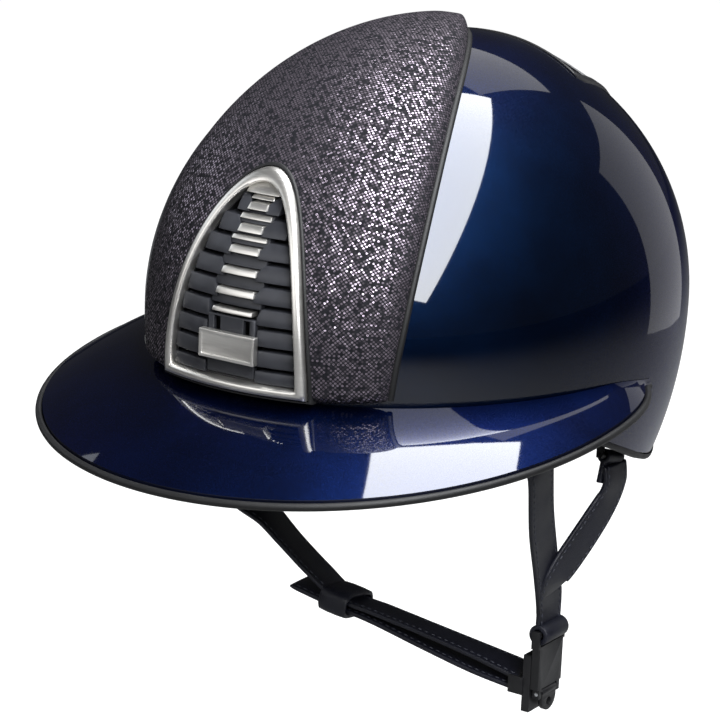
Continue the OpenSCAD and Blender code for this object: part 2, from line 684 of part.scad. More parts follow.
// Chin strap with its turn round the buckle's bar
module chin_strap() {
    color("#15151a") {
        ribbon(chin, chin_across);
        translate([chin_bar[0], chin[0][1] - strap_w / 2, chin_bar[1]]) rotate([-90, 0, 0]) difference() {
            cylinder(h = strap_w, r = chin_bar_r + 0.15 + strap_t);
            translate([0, 0, -1]) cylinder(h = strap_w + 2, r = chin_bar_r + 0.15);
            translate([-10, -5, -1]) cube([10, 10, strap_w + 2]);
        }
    }
}

module chin_strap_tail() {
    p = concat([for (i = [0:4]) chin[i] - [i == 0 ? tail_start_gap : 0, 0, tail_drops[i]]], [tail_tip]);
    color("#15151a") ribbon(p, [for (i = [0:5]) chin_across[i]]);
}

module buckle_inner() {
    x = buckle_x - 0.15;
    color("#1c1c20") {
        difference() {
            translate([x - buckle_t, buckle_y - buckle_w / 2, inner_foot]) cube([buckle_t, buckle_w,
                inner_top - inner_foot]);
            translate([x - 1.9, buckle_y, catch_level - 2]) rotate([0, 90, 0]) cylinder(h = 2.6, r = catch_r);
        }
        for (s = [-1, 1]) translate([chin_bar[0] - 2, buckle_y + s * arm_y - 0.6, chin_bar[1] - 4])
            cube([x - buckle_t - chin_bar[0] + 2.5, 1.2, 8]);
        translate([chin_bar[0], buckle_y - arm_y, chin_bar[1]]) rotate([-90, 0, 0])
            cylinder(h = 2 * arm_y, r = chin_bar_r);
        translate([x - 0.5, buckle_y - prong_w / 2, prong_foot]) cube([prong_reach + 0.5, prong_w, prong_h]);
    }
}

module buckle_catch() {
    color("silver") translate([buckle_x - 2, buckle_y, catch_level - 2]) rotate([0, 90, 0])
        cylinder(h = 1.75, r = catch_r - 0.02);
}

module strap_keeper() {
    across = strap_w / 2 + 1;
    deep = 6.2;
    wall = 2;
    color("#15151a") translate(keeper_at) rotate([0, atan2(-keeper_along[2], keeper_along[0]), 0])
        rotate([-chin_roll, 0, 0]) difference() {
            translate([-8, -across - wall, -deep - wall]) cube([16, 2 * (across + wall), 2 * (deep + wall)]);
            translate([-9, -across, -deep]) cube([18, 2 * across, 2 * deep]);
        }
}

outer_shell();
shell_edge_trim();
foam_liner();
peak();
peak_edge_bead();
peak_screws();
front_panel();
grille_frame();
grille_louvres();
louvre_inlays();
slider_guide();
vent_slider();
vent_shutter();
vent_mesh();
rear_vent_frame();
rear_vent_slats();
headband_pad();
crown_pad();
nape_pad();
left_side_pad();
right_side_pad();
pad_fasteners();
strap_anchors();
anchor_screws();
left_strap_eyes();
left_front_strap();
left_rear_strap();
left_strap_loop();
buckle_outer();
buckle_magnet();
release_tab();
release_pin();
right_strap_eyes();
right_front_strap();
right_rear_strap();
chin_strap();
chin_strap_tail();
buckle_inner();
buckle_catch();
strap_keeper();
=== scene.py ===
"""A riding helmet with a wide peak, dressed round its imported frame: finishes, sub-assemblies and studio."""
import logging
import math
from dataclasses import dataclass
from enum import Enum
from typing import Callable, Sequence

import bmesh
import bpy
import numpy as np
from mathutils import Matrix, Vector


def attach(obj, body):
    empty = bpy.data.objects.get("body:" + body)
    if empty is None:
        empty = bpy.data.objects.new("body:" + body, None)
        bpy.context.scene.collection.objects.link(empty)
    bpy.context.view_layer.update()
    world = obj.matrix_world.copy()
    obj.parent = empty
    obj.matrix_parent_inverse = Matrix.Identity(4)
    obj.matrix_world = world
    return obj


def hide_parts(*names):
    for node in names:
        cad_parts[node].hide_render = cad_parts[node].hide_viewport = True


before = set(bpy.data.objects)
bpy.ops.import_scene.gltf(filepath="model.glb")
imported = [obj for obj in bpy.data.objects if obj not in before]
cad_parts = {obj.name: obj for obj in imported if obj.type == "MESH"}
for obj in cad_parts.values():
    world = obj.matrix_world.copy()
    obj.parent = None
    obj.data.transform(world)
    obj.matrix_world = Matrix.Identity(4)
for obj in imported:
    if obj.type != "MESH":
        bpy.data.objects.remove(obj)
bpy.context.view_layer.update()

LOG = logging.getLogger("helmet")
MM = 0.001
ROUNDED_ANGLE = 40.0
CRISP_ANGLE = 35.0
FACE_CUT = (-170.0, -60.0)
CROWN_CUT = (60.0, 160.0)
Array = np.ndarray
Piece = bpy.types.Object
Material = bpy.types.Material
Socket = bpy.types.NodeSocket
Faces = list[tuple[int, ...]]
Colour = tuple[float, float, float, float]
Triple = tuple[float, float, float]
Part = tuple[Array, Faces]
Node = bpy.types.Node
Tree = bpy.types.NodeTree
Inputs = dict[str | int, object]


class Body(Enum):
    """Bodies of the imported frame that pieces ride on."""

    HELMET = "helmet"
    SLIDER = "vent_slider_body"
    LEFT = "left_harness"
    TAB = "release_tab_body"
    RIGHT = "right_harness"
    KEEPER = "keeper_body"


class Slot(Enum):
    """Material slots."""

    SHELL = "shell_navy"
    TRIM = "trim_black"
    FOAM = "foam"
    TEXTILE = "panel_textile"
    SILVER = "frame_silver"
    LOUVRE = "louvre_plastic"
    PAD = "pad_fabric"
    LEATHER = "strap_leather"
    BUCKLE = "buckle_plastic"
    STEEL = "steel"


def ease(x: Array | float) -> Array:
    """Smooth step from 0 to 1 as x goes from 0 to 1."""
    c = np.clip(x, 0.0, 1.0)
    return c * c * (3 - 2 * c)


def sind(a: Array | float) -> Array:
    """Sine of an angle in degrees."""
    return np.sin(np.radians(a))


def cosd(a: Array | float) -> Array:
    """Cosine of an angle in degrees."""
    return np.cos(np.radians(a))


def unit(v: Array) -> Array:
    """Vectors along the last axis, each brought to length 1."""
    return v / np.maximum(np.linalg.norm(v, axis=-1, keepdims=True), 1e-12)


@dataclass(frozen=True)
class HelmetForm:
    """The shell's surface and edge, in millimetres, as the frame has them."""

    width: float = 111.0
    front: float = 140.0
    rear: float = 129.0
    up: float = 116.0
    down: float = 152.0
    level: float = 15.0
    wall: float = 2.5
    hem_front: float = -10.0
    hem_drop: float = 42.0
    nape_drop: float = 4.0

    def half_height(self, z: Array) -> Array:
        """Vertical half axis of the shell at level z."""
        return np.where(np.asarray(z) > self.level, self.up, self.down)

    def latitude(self, z: Array, o: Array | float = 0.0) -> Array:
        """Latitude on the shell, raised by o, whose level is z."""
        ratio = (np.asarray(z) - self.level) / (self.half_height(z) + o)
        return np.degrees(np.arcsin(np.clip(ratio, -1, 1)))

    def dome(self, a: Array, t: Array, o: Array | float = 0.0) -> Array:
        """Point on the shell raised by o.

        Args:
            a: Degrees from straight ahead to the wearer's left.
            t: Latitude in degrees.
            o: Height above the shell's outer face.

        Returns:
            Points with x, y and z along the last axis.
        """
        a, t, o = np.broadcast_arrays(np.asarray(a, float), np.asarray(t, float), np.asarray(o, float))
        long = np.where(np.abs(a) < 90, self.front, self.rear) + o
        tall = np.where(t > 0, self.up, self.down) + o
        return np.stack([(self.width + o) * cosd(t) * sind(a), -long * cosd(t) * cosd(a),
                         self.level + tall * sind(t)], -1)

    def over(self, x: Array, t: Array, o: Array | float = 0.0) -> Array:
        """Point on the shell raised by o, t degrees up the middle line from the brow and x to the side."""
        x, t, o = np.broadcast_arrays(np.asarray(x, float), np.asarray(t, float), np.asarray(o, float))
        c = np.sqrt(1 - (x / (self.width + o)) ** 2)
        long = np.where(t < 90, self.front, self.rear) + o
        tall = np.where(t > 0, self.up, self.down) + o
        return np.stack([x, -long * c * cosd(t), self.level + tall * c * sind(t)], -1)

    def face_y(self, x: Array, z: Array, o: Array | float = 0.0) -> Array:
        """Y of the shell's front face, raised by o, at x and z."""
        across = np.asarray(x) / (self.width + o)
        climb = (np.asarray(z) - self.level) / (self.half_height(z) + o)
        return -(self.front + o) * np.sqrt(np.maximum(0, 1 - across ** 2 - climb ** 2))

    def on_face(self, x: Array, z: Array, o: Array | float = 0.0) -> Array:
        """Points of the front face, raised by o, at x and z."""
        x, z, o = np.broadcast_arrays(np.asarray(x, float), np.asarray(z, float), np.asarray(o, float))
        return np.stack([x, self.face_y(x, z, o), z], -1)

    def on_crown(self, x: Array, y: Array, o: Array | float = 0.0) -> Array:
        """Points of the rear of the crown, raised by o, at x and y."""
        x, y, o = np.broadcast_arrays(np.asarray(x, float), np.asarray(y, float), np.asarray(o, float))
        z = self.level + (self.up + o) * np.sqrt(1 - (x / (self.width + o)) ** 2 - (y / (self.rear + o)) ** 2)
        return np.stack([x, y, z], -1)

    def hem(self, a: Array) -> Array:
        """Level of the shell's edge in direction a."""
        turn = np.abs(np.asarray(a, float))
        level = self.hem_front - self.hem_drop * ease((turn - 40) / 85)
        return level - self.nape_drop * ease((turn - 125) / 55)

    def reach(self, a: Array, z: Array, o: Array | float = 0.0) -> Array:
        """Distance from the Z axis to the shell, raised by o, in direction a at level z."""
        long = np.where(np.abs(a) < 90, self.front, self.rear) + o
        spread = (sind(a) / (self.width + o)) ** 2 + (cosd(a) / long) ** 2
        return cosd(self.latitude(z, o)) / np.sqrt(spread)

    def normal(self, p: Array) -> Array:
        """Outward direction of the shell's surface at points p."""
        long = np.where(p[..., 1] < 0, self.front, self.rear)
        tall = self.half_height(p[..., 2])
        return unit(np.stack([p[..., 0] / self.width ** 2, p[..., 1] / long ** 2,
                              (p[..., 2] - self.level) / tall ** 2], -1))


FORM = HelmetForm()


def polar(a: Array, r: Array, z: Array) -> Array:
    """Points in direction a from straight ahead, at distance r from the Z axis and level z."""
    a, r, z = np.broadcast_arrays(np.asarray(a, float), np.asarray(r, float), np.asarray(z, float))
    return np.stack([r * sind(a), -r * cosd(a), z], -1)


def arch_half(w: float, foot: float, top: float, z: Array) -> Array:
    """Half width at level z of an arch of foot width w between two levels."""
    rise = np.clip((np.asarray(z, float) - foot) / (top - foot), 0, 1)
    return w * np.sqrt(1 - rise ** 1.75)


def arch(w: float, foot: float, top: float, side: int = 60, base: int = 16) -> Array:
    """Outline of an arch in x and z, anticlockwise from the middle of its foot.

    Args:
        w: Half width at the foot.
        foot: Level of the foot.
        top: Level of the top.
        side: Points up each side.
        base: Points along each half of the foot.

    Returns:
        An array of x and z.
    """
    z = foot + (top - foot) * sind(np.linspace(0, 90, side + 1))
    x = arch_half(w, foot, top, z)
    out = np.linspace(0, w, base, endpoint=False)
    right = np.stack([out, np.full(base, foot)], -1)
    left = np.stack([-out[:0:-1], np.full(base - 1, foot)], -1)
    return np.concatenate([right, np.stack([x, z], -1), np.stack([-x[-2::-1], z[-2::-1]], -1), left])


def smooth_path(points: Sequence[Sequence[float]], steps: int = 10) -> Array:
    """Catmull-Rom curve through points, both ends kept, with steps pieces between neighbours."""
    p = np.asarray(points, float)
    q = np.concatenate([p[:1], p, p[-1:]])
    s = np.linspace(0, 1, steps, endpoint=False)[:, None]
    runs = [(2 * b + (c - a) * s + (2 * a - 5 * b + 4 * c - d) * s ** 2
             + (3 * b - a - 3 * c + d) * s ** 3) / 2
            for a, b, c, d in zip(q, q[1:], q[2:], q[3:])]
    return np.concatenate([*runs, p[-1:]])


def grid(rings: Array, closed_loop: bool = False, caps: bool = False) -> Part:
    """Quads through a row of rings.

    Args:
        rings: Points with shape rings, points, 3.
        closed_loop: Whether the last ring joins the first.
        caps: Whether the end rings are filled.

    Returns:
        Points as rows and faces as index tuples.
    """
    m, n = rings.shape[:2]
    faces: Faces = []
    for i in range(m if closed_loop else m - 1):
        k = (i + 1) % m
        for j in range(n):
            h = (j + 1) % n
            faces.append((i * n + j, i * n + h, k * n + h, k * n + j))
    if caps:
        faces += [tuple(range(n - 1, -1, -1)), tuple((m - 1) * n + j for j in range(n))]
    return rings.reshape(-1, 3), faces


def merged(parts: Sequence[Part]) -> Part:
    """Points and faces of several parts as one set."""
    faces: Faces = []
    start = 0
    for points, part in parts:
        faces += [tuple(i + start for i in face) for face in part]
        start += len(points)
    return np.concatenate([points for points, _ in parts]), faces


def placed(name: str, data: bpy.types.ID) -> Piece:
    """A new object in the scene."""
    obj = bpy.data.objects.new(name, data)
    bpy.context.scene.collection.objects.link(obj)
    return obj


def dress(obj: Piece, material: Material) -> None:
    """Gives a piece one material in place of those it has."""
    obj.data.materials.clear()
    obj.data.materials.append(material)


def corners(obj: Piece) -> Array:
    """A piece's vertices in metres, one row each."""
    co = np.zeros(len(obj.data.vertices) * 3, np.float32)
    obj.data.vertices.foreach_get("co", co)
    return co.reshape(-1, 3)


def shade(obj: Piece, smooth_angle: float) -> None:
    """Shades a piece smoothly, apart from edges sharper than an angle in degrees."""
    obj.data.shade_smooth()
    obj.data.set_sharp_from_angle(angle=math.radians(smooth_angle))


def mesh_piece(name: str, points: Array, faces: Faces, material: Material, uv: Array | None = None,
               smooth_angle: float = 40.0, weld: float = 1e-6) -> Piece:
    """A mesh object from points in millimetres, with its faces turned outwards.

    Args:
        name: Name of the piece.
        points: Points in millimetres.
        faces: Index tuples.
        material: Its finish.
        uv: Optional u and v for each point, kept where points aren't welded.
        smooth_angle: Edges sharper than this stay crisp.
        weld: Points closer than this, in metres, become one; 0 keeps them.

    Returns:
        The object, linked to the scene.
    """
    mesh = bpy.data.meshes.new(name)
    mesh.from_pydata((np.asarray(points) * MM).tolist(), [], faces)
    if uv is not None:
        layer = mesh.uv_layers.new(name="UVMap")
        loops = np.zeros(len(mesh.loops), int)
        mesh.loops.foreach_get("vertex_index", loops)
        layer.data.foreach_set("uv", np.asarray(uv, np.float32)[loops].ravel())
    obj = placed(name, mesh)
    finish_mesh(obj, smooth_angle, weld)
    mesh.materials.append(material)
    return obj


def finish_mesh(obj: Piece, smooth_angle: float = 40.0, weld: float = 1e-6) -> None:
    """Welds doubles, turns the faces outwards and shades smoothly up to an angle."""
    work = bmesh.new()
    work.from_mesh(obj.data)
    if weld > 0:
        bmesh.ops.remove_doubles(work, verts=work.verts, dist=weld)
    bmesh.ops.recalc_face_normals(work, faces=work.faces)
    work.to_mesh(obj.data)
    work.free()
    shade(obj, smooth_angle)


def evaluated(obj: Piece) -> Piece:
    """The object with its modifiers' result as its plain mesh."""
    graph = bpy.context.evaluated_depsgraph_get()
    mesh = bpy.data.meshes.new_from_object(obj.evaluated_get(graph), depsgraph=graph)
    mesh.name = obj.name
    obj.modifiers.clear()
    obj.data = mesh
    return obj


def add_modifier(obj: Piece, kind: str, **settings: object) -> Piece:
    """Adds a modifier with its settings and turns its result into the plain mesh."""
    modifier = obj.modifiers.new(kind.title(), kind)
    for key, value in settings.items():
        setattr(modifier, key, value)
    return evaluated(obj)


def cut_with(obj: Piece, outline: Array, axis: int, low: float, high: float) -> None:
    """Cuts a straight prism out of a piece.

    Args:
        obj: The piece.
        outline: Outline across the other two axes, in millimetres.
        axis: Axis of the prism, 1 for Y or 2 for Z.
        low: Where the prism starts.
        high: Where it ends.
    """
    points = np.stack([np.insert(outline, axis, level, axis=1) for level in (low, high)])
    cutter = mesh_piece("cutter", *grid(points, caps=True), material=obj.data.materials[0])
    add_modifier(obj, "BOOLEAN", operation="DIFFERENCE", object=cutter, solver="EXACT")
    bpy.data.objects.remove(cutter)


def wrap_normals(obj: Piece, near: float = 0.85) -> None:
    """Gives faces that lie along the shell its own normals, so that gloss stays clean at cuts."""
    mesh = obj.data
    out = FORM.normal(corners(obj) / MM)
    normals = []
    for face in mesh.polygons:
        for v in face.vertices:
            along = float(np.dot(out[v], face.normal))
            own = out[v] * (1 if along > 0 else -1)
            normals.append(tuple(own if abs(along) > near else face.normal))
    mesh.normals_split_custom_set(normals)


def settle(obj: Piece, body: Body, slot: Slot, *nodes: str) -> Piece:
    """Puts a piece on its body, hides the frame nodes it stands for, and reports it."""
    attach(obj, body.value)
    if nodes:
        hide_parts(*nodes)
    LOG.info("%s: %d faces on %s", obj.name, len(obj.data.polygons), body.value)
    return obj


def joined(name: str, pieces: Sequence[Piece]) -> Piece:
    """One piece made of several, which keep their materials."""
    bpy.ops.object.select_all(action="DESELECT")
    for piece in pieces:
        piece.select_set(True)
    bpy.context.view_layer.objects.active = pieces[0]
    bpy.ops.object.join()
    pieces[0].name = name
    return pieces[0]


def refined(node: str, name: str, material: Material, bevel: float, segments: int = 2) -> Piece:
    """A copy of a frame node with its edges rounded.

    Args:
        node: Node to copy.
        name: Name of the copy.
        material: Its finish.
        bevel: Edge radius in millimetres.
        segments: Faces across the round.

    Returns:
        The new piece.
    """
    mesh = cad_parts[node].data.copy()
    mesh.name = name
    obj = placed(name, mesh)
    work = bmesh.new()
    work.from_mesh(mesh)
    bmesh.ops.remove_doubles(work, verts=work.verts, dist=1e-6)
    bmesh.ops.dissolve_limit(work, angle_limit=math.radians(1.0), verts=work.verts, edges=work.edges)
    work.to_mesh(mesh)
    work.free()
    dress(obj, material)
    add_modifier(obj, "BEVEL", width=bevel * MM, segments=segments, limit_method="ANGLE",
                 angle_limit=math.radians(ROUNDED_ANGLE), use_clamp_overlap=True, harden_normals=False)
    shade(obj, CRISP_ANGLE)
    return obj


class Graph:
    """Adds and wires the nodes of one tree."""

    def __init__(self, tree: Tree) -> None:
        """Keeps the tree."""
        self.tree = tree

    def add(self, kind: str, inputs: Inputs | None = None, **settings: object) -> Node:
        """Adds a node.

        Args:
            kind: Node type.
            inputs: Values or sockets for its inputs, by name or place.
            settings: Properties of the node.

        Returns:
            The node.
        """
        node = self.tree.nodes.new(kind)
        for key, value in settings.items():
            setattr(node, key, value)
        return self.fill(node, inputs or {})

    def fill(self, node: Node, inputs: Inputs) -> Node:
        """Feeds several inputs of a node, by name or place, and returns it."""
        for key, value in inputs.items():
            self.feed(node.inputs[key], value)
        return node

    def feed(self, socket: Socket, value: object) -> None:
        """Links a socket to an input, or sets the input's own value."""
        if isinstance(value, bpy.types.NodeSocket):
            self.tree.links.new(value, socket)
        else:
            socket.default_value = value

    def math(self, operation: str, a: object, b: object = 0.0, c: object = 0.0,
             clamp: bool = False) -> Socket:
        """Output of a Math node."""
        node = self.add("ShaderNodeMath", {0: a, 1: b}, operation=operation, use_clamp=clamp)
        if operation == "MULTIPLY_ADD":
            self.feed(node.inputs[2], c)
        return node.outputs[0]

    def vector(self, operation: str, a: object, b: object = (0, 0, 0)) -> Socket:
        """Vector output of a Vector Math node."""
        second = "Scale" if operation == "SCALE" else 1
        return self.add("ShaderNodeVectorMath", {0: a, second: b}, operation=operation).outputs[0]

    def span(self, value: object, low: float, high: float, to_low: float = 0.0,
             to_high: float = 1.0) -> Socket:
        """Output of a Map Range node that clamps."""
        return self.add("ShaderNodeMapRange", {0: value, 1: low, 2: high, 3: to_low, 4: to_high}).outputs[0]

    def blend(self, factor: object, a: object, b: object) -> Socket:
        """Colour between a and b."""
        return self.add("ShaderNodeMix", {0: factor, 6: a, 7: b}, data_type="RGBA").outputs[2]

    def noise(self, vector: object, scale: float | Socket, detail: float = 2.0) -> Node:
        """A Noise Texture node."""
        return self.add("ShaderNodeTexNoise", {"Vector": vector, "Scale": scale, "Detail": detail})


def rgb(r: float, g: float, b: float) -> Colour:
    """An opaque linear colour."""
    return (r, g, b, 1.0)


def toned(colour: Colour, share: float) -> Colour:
    """A colour at a share of its brightness."""
    return rgb(*(share * c for c in colour[:3]))


Fill = Callable[[Graph, dict[str, Socket]], dict[str, Socket]]
Group = Callable[[], Tree]


def effect(name: str, inputs: dict[str, float], *outputs: str) -> Callable[[Fill], Group]:
    """Turns a function that adds nodes into one that gives their shader node group, made once.

    Args:
        name: Name of the group.
        inputs: First value of each number input. A Vector input comes before them.
        outputs: Names of the outputs, which are numbers, or a vector where the name is Normal.

    Returns:
        A decorator for the function.
    """

    def wrap(fill: Fill) -> Group:
        """Keeps the function that adds the nodes."""

        def group() -> Tree:
            """The group's tree."""
            if name in bpy.data.node_groups:
                return bpy.data.node_groups[name]
            tree = bpy.data.node_groups.new(name, "ShaderNodeTree")
            tree.interface.new_socket(name="Vector", in_out="INPUT", socket_type="NodeSocketVector")
            for label, value in inputs.items():
                socket = tree.interface.new_socket(name=label, in_out="INPUT", socket_type="NodeSocketFloat")
                socket.default_value = value
            for label in outputs:
                kind = "NodeSocketVector" if label == "Normal" else "NodeSocketFloat"
                tree.interface.new_socket(name=label, in_out="OUTPUT", socket_type=kind)
            graph = Graph(tree)
            source, sink = graph.add("NodeGroupInput"), graph.add("NodeGroupOutput")
            graph.fill(sink, fill(graph, {s.name: s for s in source.outputs if s.name}))
            return tree

        return group

    return wrap


@effect("surface grain", {"Scale": 900}, "Height", "Tone", "Pores")
def grain_group(g: Graph, i: dict[str, Socket]) -> dict[str, Socket]:
    """Fine surface grain: pebbles and pores at a scale, and a slow change of tone."""
    cells = g.add("ShaderNodeTexVoronoi", {"Vector": i["Vector"], "Scale": i["Scale"], "Randomness": 1.0},
                  feature="DISTANCE_TO_EDGE").outputs["Distance"]
    fine = g.noise(i["Vector"], g.math("MULTIPLY", i["Scale"], 2.7), 3.0).outputs[0]
    slow = g.noise(i["Vector"], g.math("MULTIPLY", i["Scale"], 0.06), 3.0).outputs[0]
    height = g.math("ADD", g.math("MULTIPLY", g.span(cells, 0.0, 0.25), 0.65), g.math("MULTIPLY", fine, 0.35))
    return {"Height": height, "Tone": g.span(slow, 0.3, 0.7), "Pores": g.span(cells, 0.0, 0.08)}


@effect("edge wear", {"Scale": 240, "Amount": 0.5}, "Wear")
def wear_group(g: Graph, i: dict[str, Socket]) -> dict[str, Socket]:
    """Rubbed edges: a mask along sharp outer edges, broken up by noise."""
    edge = g.span(g.add("ShaderNodeNewGeometry").outputs["Pointiness"], 0.56, 0.70)
    broken = g.span(g.noise(i["Vector"], i["Scale"], 4.0).outputs[0], 0.35, 0.65)
    return {"Wear": g.math("MULTIPLY", g.math("MULTIPLY", edge, broken), i["Amount"], clamp=True)}


@effect("fine dust", {"Amount": 0.2}, "Dust")
def dust_group(g: Graph, i: dict[str, Socket]) -> dict[str, Socket]:
    """Fine dust that lies on upward faces."""
    normal = g.add("ShaderNodeNewGeometry").outputs["Normal"]
    up = g.span(g.add("ShaderNodeSeparateXYZ", {0: normal}).outputs[2], 0.2, 1.0)
    specks = g.span(g.noise(i["Vector"], 900.0, 5.0).outputs[0], 0.55, 0.8)
    clouds = g.span(g.noise(i["Vector"], 22.0, 3.0).outputs[0], 0.4, 0.75)
    patches = g.math("MULTIPLY", up, g.math("MULTIPLY", specks, clouds))
    return {"Dust": g.math("MULTIPLY", patches, i["Amount"])}


@effect("cloth weave", {"Threads": 800}, "Height", "Tone")
def weave_group(g: Graph, i: dict[str, Socket]) -> dict[str, Socket]:
    """Threads over and under at a pitch."""
    x, y, z = g.add("ShaderNodeSeparateXYZ", {0: g.vector("SCALE", i["Vector"], i["Threads"])}).outputs
    u = g.math("SINE", g.math("MULTIPLY", g.math("ADD", x, g.math("MULTIPLY", y, 0.6)), math.tau))
    v = g.math("SINE", g.math("MULTIPLY", g.math("ADD", z, g.math("MULTIPLY", y, -0.6)), math.tau))
    over = g.math("MULTIPLY", u, v)
    height = g.math("ADD", g.math("ABSOLUTE", u), g.math("MULTIPLY", over, 0.6))
    return {"Height": g.span(height, -0.6, 1.6), "Tone": g.span(over, -1.0, 1.0)}


@effect("metal flakes", {"Scale": 4000, "Lean": 0.1, "Disorder": 1.0}, "Normal", "Tone")
def flake_group(g: Graph, i: dict[str, Socket]) -> dict[str, Socket]:
    """Metal flakes: each small cell leans its own way and has its own brightness."""
    cells = g.add("ShaderNodeTexVoronoi", {"Vector": i["Vector"], "Scale": i["Scale"],
                                           "Randomness": i["Disorder"]}).outputs["Color"]
    lean = g.vector("SUBTRACT", cells, (0.5, 0.5, 0.5))
    normal = g.add("ShaderNodeNewGeometry").outputs["Normal"]
    tilted = g.vector("NORMALIZE", g.vector("ADD", normal, g.vector("SCALE", lean, i["Lean"])))
    return {"Normal": tilted, "Tone": g.add("ShaderNodeSeparateXYZ", {0: cells}).outputs[0]}


@dataclass(frozen=True)
class Finish:
    """A material, made once from its own nodes."""

    name: str

    def material(self) -> Material:
        """The finish as a material."""
        known = bpy.data.materials.get(self.name)
        if known:
            return known
        material = bpy.data.materials.new(self.name)
        material.use_nodes = True
        graph = Graph(material.node_tree)
        place = graph.add("ShaderNodeTexCoord").outputs["Object"]
        graph.fill(material.node_tree.nodes["Principled BSDF"], self.surface(graph, place))
        return material

    def surface(self, g: Graph, place: Socket) -> dict[str, object]:
        """Adds this finish's nodes and says what feeds the shader; place is the Object coordinate."""
        raise NotImplementedError

    def group(self, g: Graph, tree: Tree, place: Socket, **values: float) -> Node:
        """Places a shared effect with its own values."""
        node = g.add("ShaderNodeGroup", node_tree=tree)
        return g.fill(node, {"Vector": place, **values})

    def dusted(self, g: Graph, place: Socket, colour: Socket, amount: float, dust: Colour) -> Socket:
        """The colour under a trace of dust."""
        return g.blend(self.group(g, dust_group(), place, Amount=amount).outputs[0], colour, dust)

    def worn(self, g: Graph, place: Socket, colour: Socket, rubbed: Colour, amount: float,
             scale: float) -> Socket:
        """The colour with another one along rubbed edges."""
        mask = self.group(g, wear_group(), place, Amount=amount, Scale=scale).outputs[0]
        return g.blend(mask, colour, rubbed)

    def bump(self, g: Graph, height: Socket, depth_mm: float, strength: float, **normal: Socket) -> Socket:
        """Normal of a Bump node with its depth in millimetres."""
        return g.add("ShaderNodeBump", {"Height": height, "Distance": depth_mm * MM, "Strength": strength,
                                        **normal}).outputs[0]


@dataclass(frozen=True)
class Lacquer(Finish):
    """Metallic paint under a clear coat."""

    deep: Colour = rgb(0.0003, 0.0010, 0.0042)
    bright: Colour = rgb(0.0007, 0.0062, 0.024)

    def surface(self, g: Graph, place: Socket) -> dict[str, object]:
        """Flakes under gloss, with a slow drift of tone and a trace of dust."""
        flakes = self.group(g, flake_group(), place, Scale=5200.0, Lean=0.16)
        drift = self.group(g, grain_group(), place, Scale=600.0).outputs["Tone"]
        tone = g.math("MULTIPLY_ADD", flakes.outputs["Tone"], 0.55, g.math("MULTIPLY", drift, 0.3))
        paint = g.blend(tone, self.deep, self.bright)
        return {"Base Color": self.dusted(g, place, paint, 0.01, rgb(0.35, 0.36, 0.38)),
                "Normal": flakes.outputs["Normal"], "Metallic": 0.9, "Specular Tint": rgb(0.12, 0.26, 0.7),
                "Roughness": g.math("MULTIPLY_ADD", drift, 0.05, 0.40),
                "Coat Weight": 1.0, "Coat Roughness": 0.035, "Coat IOR": 1.5}


@dataclass(frozen=True)
class SparkleTextile(Finish):
    """Charcoal cloth printed with a slanting grid of small metallic dots. UV is in millimetres."""

    pitch: float = 1.32
    lean: float = 0.28

    def surface(self, g: Graph, place: Socket) -> dict[str, object]:
        """Dots that each lean their own way, on a matt ground with a fine knit."""
        uv = g.add("ShaderNodeTexCoord").outputs["UV"]
        turned = g.add("ShaderNodeMapping", {"Vector": uv, "Rotation": (0, 0, math.radians(45)),
                                              "Scale": (1 / self.pitch, 1 / self.pitch, 1)}).outputs[0]
        from_middle = g.vector("SUBTRACT", g.vector("FRACTION", turned), (0.5, 0.5, 0.0))
        away = g.add("ShaderNodeVectorMath", {0: from_middle}, operation="LENGTH").outputs["Value"]
        random = g.add("ShaderNodeTexWhiteNoise", {"Vector": g.vector("FLOOR", turned)},
                       noise_dimensions="3D")
        lean = g.vector("SCALE", g.vector("SUBTRACT", random.outputs["Color"], (0.5, 0.5, 0.5)), self.lean)
        normal = g.add("ShaderNodeNewGeometry").outputs["Normal"]
        tilted = g.vector("NORMALIZE", g.vector("ADD", normal, lean))
        knit = self.group(g, grain_group(), place, Scale=2600.0).outputs["Height"]
        live = g.math("MULTIPLY", g.span(away, 0.40, 0.30), g.span(random.outputs["Value"], 0.1, 0.7))
        hue = g.blend(random.outputs["Value"], rgb(0.035, 0.027, 0.032), rgb(0.26, 0.22, 0.265))
        colour = g.blend(live, g.blend(knit, rgb(0.003, 0.003, 0.004), rgb(0.011, 0.011, 0.014)), hue)
        return {"Base Color": self.dusted(g, place, colour, 0.015, rgb(0.3, 0.3, 0.3)),
                "Metallic": g.math("MULTIPLY", live, 0.95), "Roughness": g.span(live, 0.0, 1.0, 0.70, 0.26),
                "Specular IOR Level": 0.08, "Normal": self.bump(g, knit, 0.05, 0.5, Normal=tilted)}


@dataclass(frozen=True)
class SatinMetal(Finish):
    """Satin plated metal with fine brushing and a few rubbed edges."""

    colour: Colour = rgb(0.80, 0.78, 0.745)
    rough: float = 0.33

    def surface(self, g: Graph, place: Socket) -> dict[str, object]:
        """Stretched noise for the brushing, wear and dust for age."""
        long = g.add("ShaderNodeMapping", {"Vector": place, "Scale": (160.0, 160.0, 2600.0)}).outputs[0]
        brushing = g.noise(long, 1.0, 3.0).outputs[0]
        metal = g.blend(brushing, toned(self.colour, 0.82), self.colour)
        worn = self.worn(g, place, metal, rgb(0.82, 0.81, 0.79), 0.6, 300.0)
        return {"Base Color": self.dusted(g, place, worn, 0.05, rgb(0.25, 0.24, 0.22)), "Metallic": 1.0,
                "Roughness": g.math("MULTIPLY_ADD", brushing, 0.16, self.rough - 0.05),
                "Normal": self.bump(g, brushing, 0.01, 0.25)}


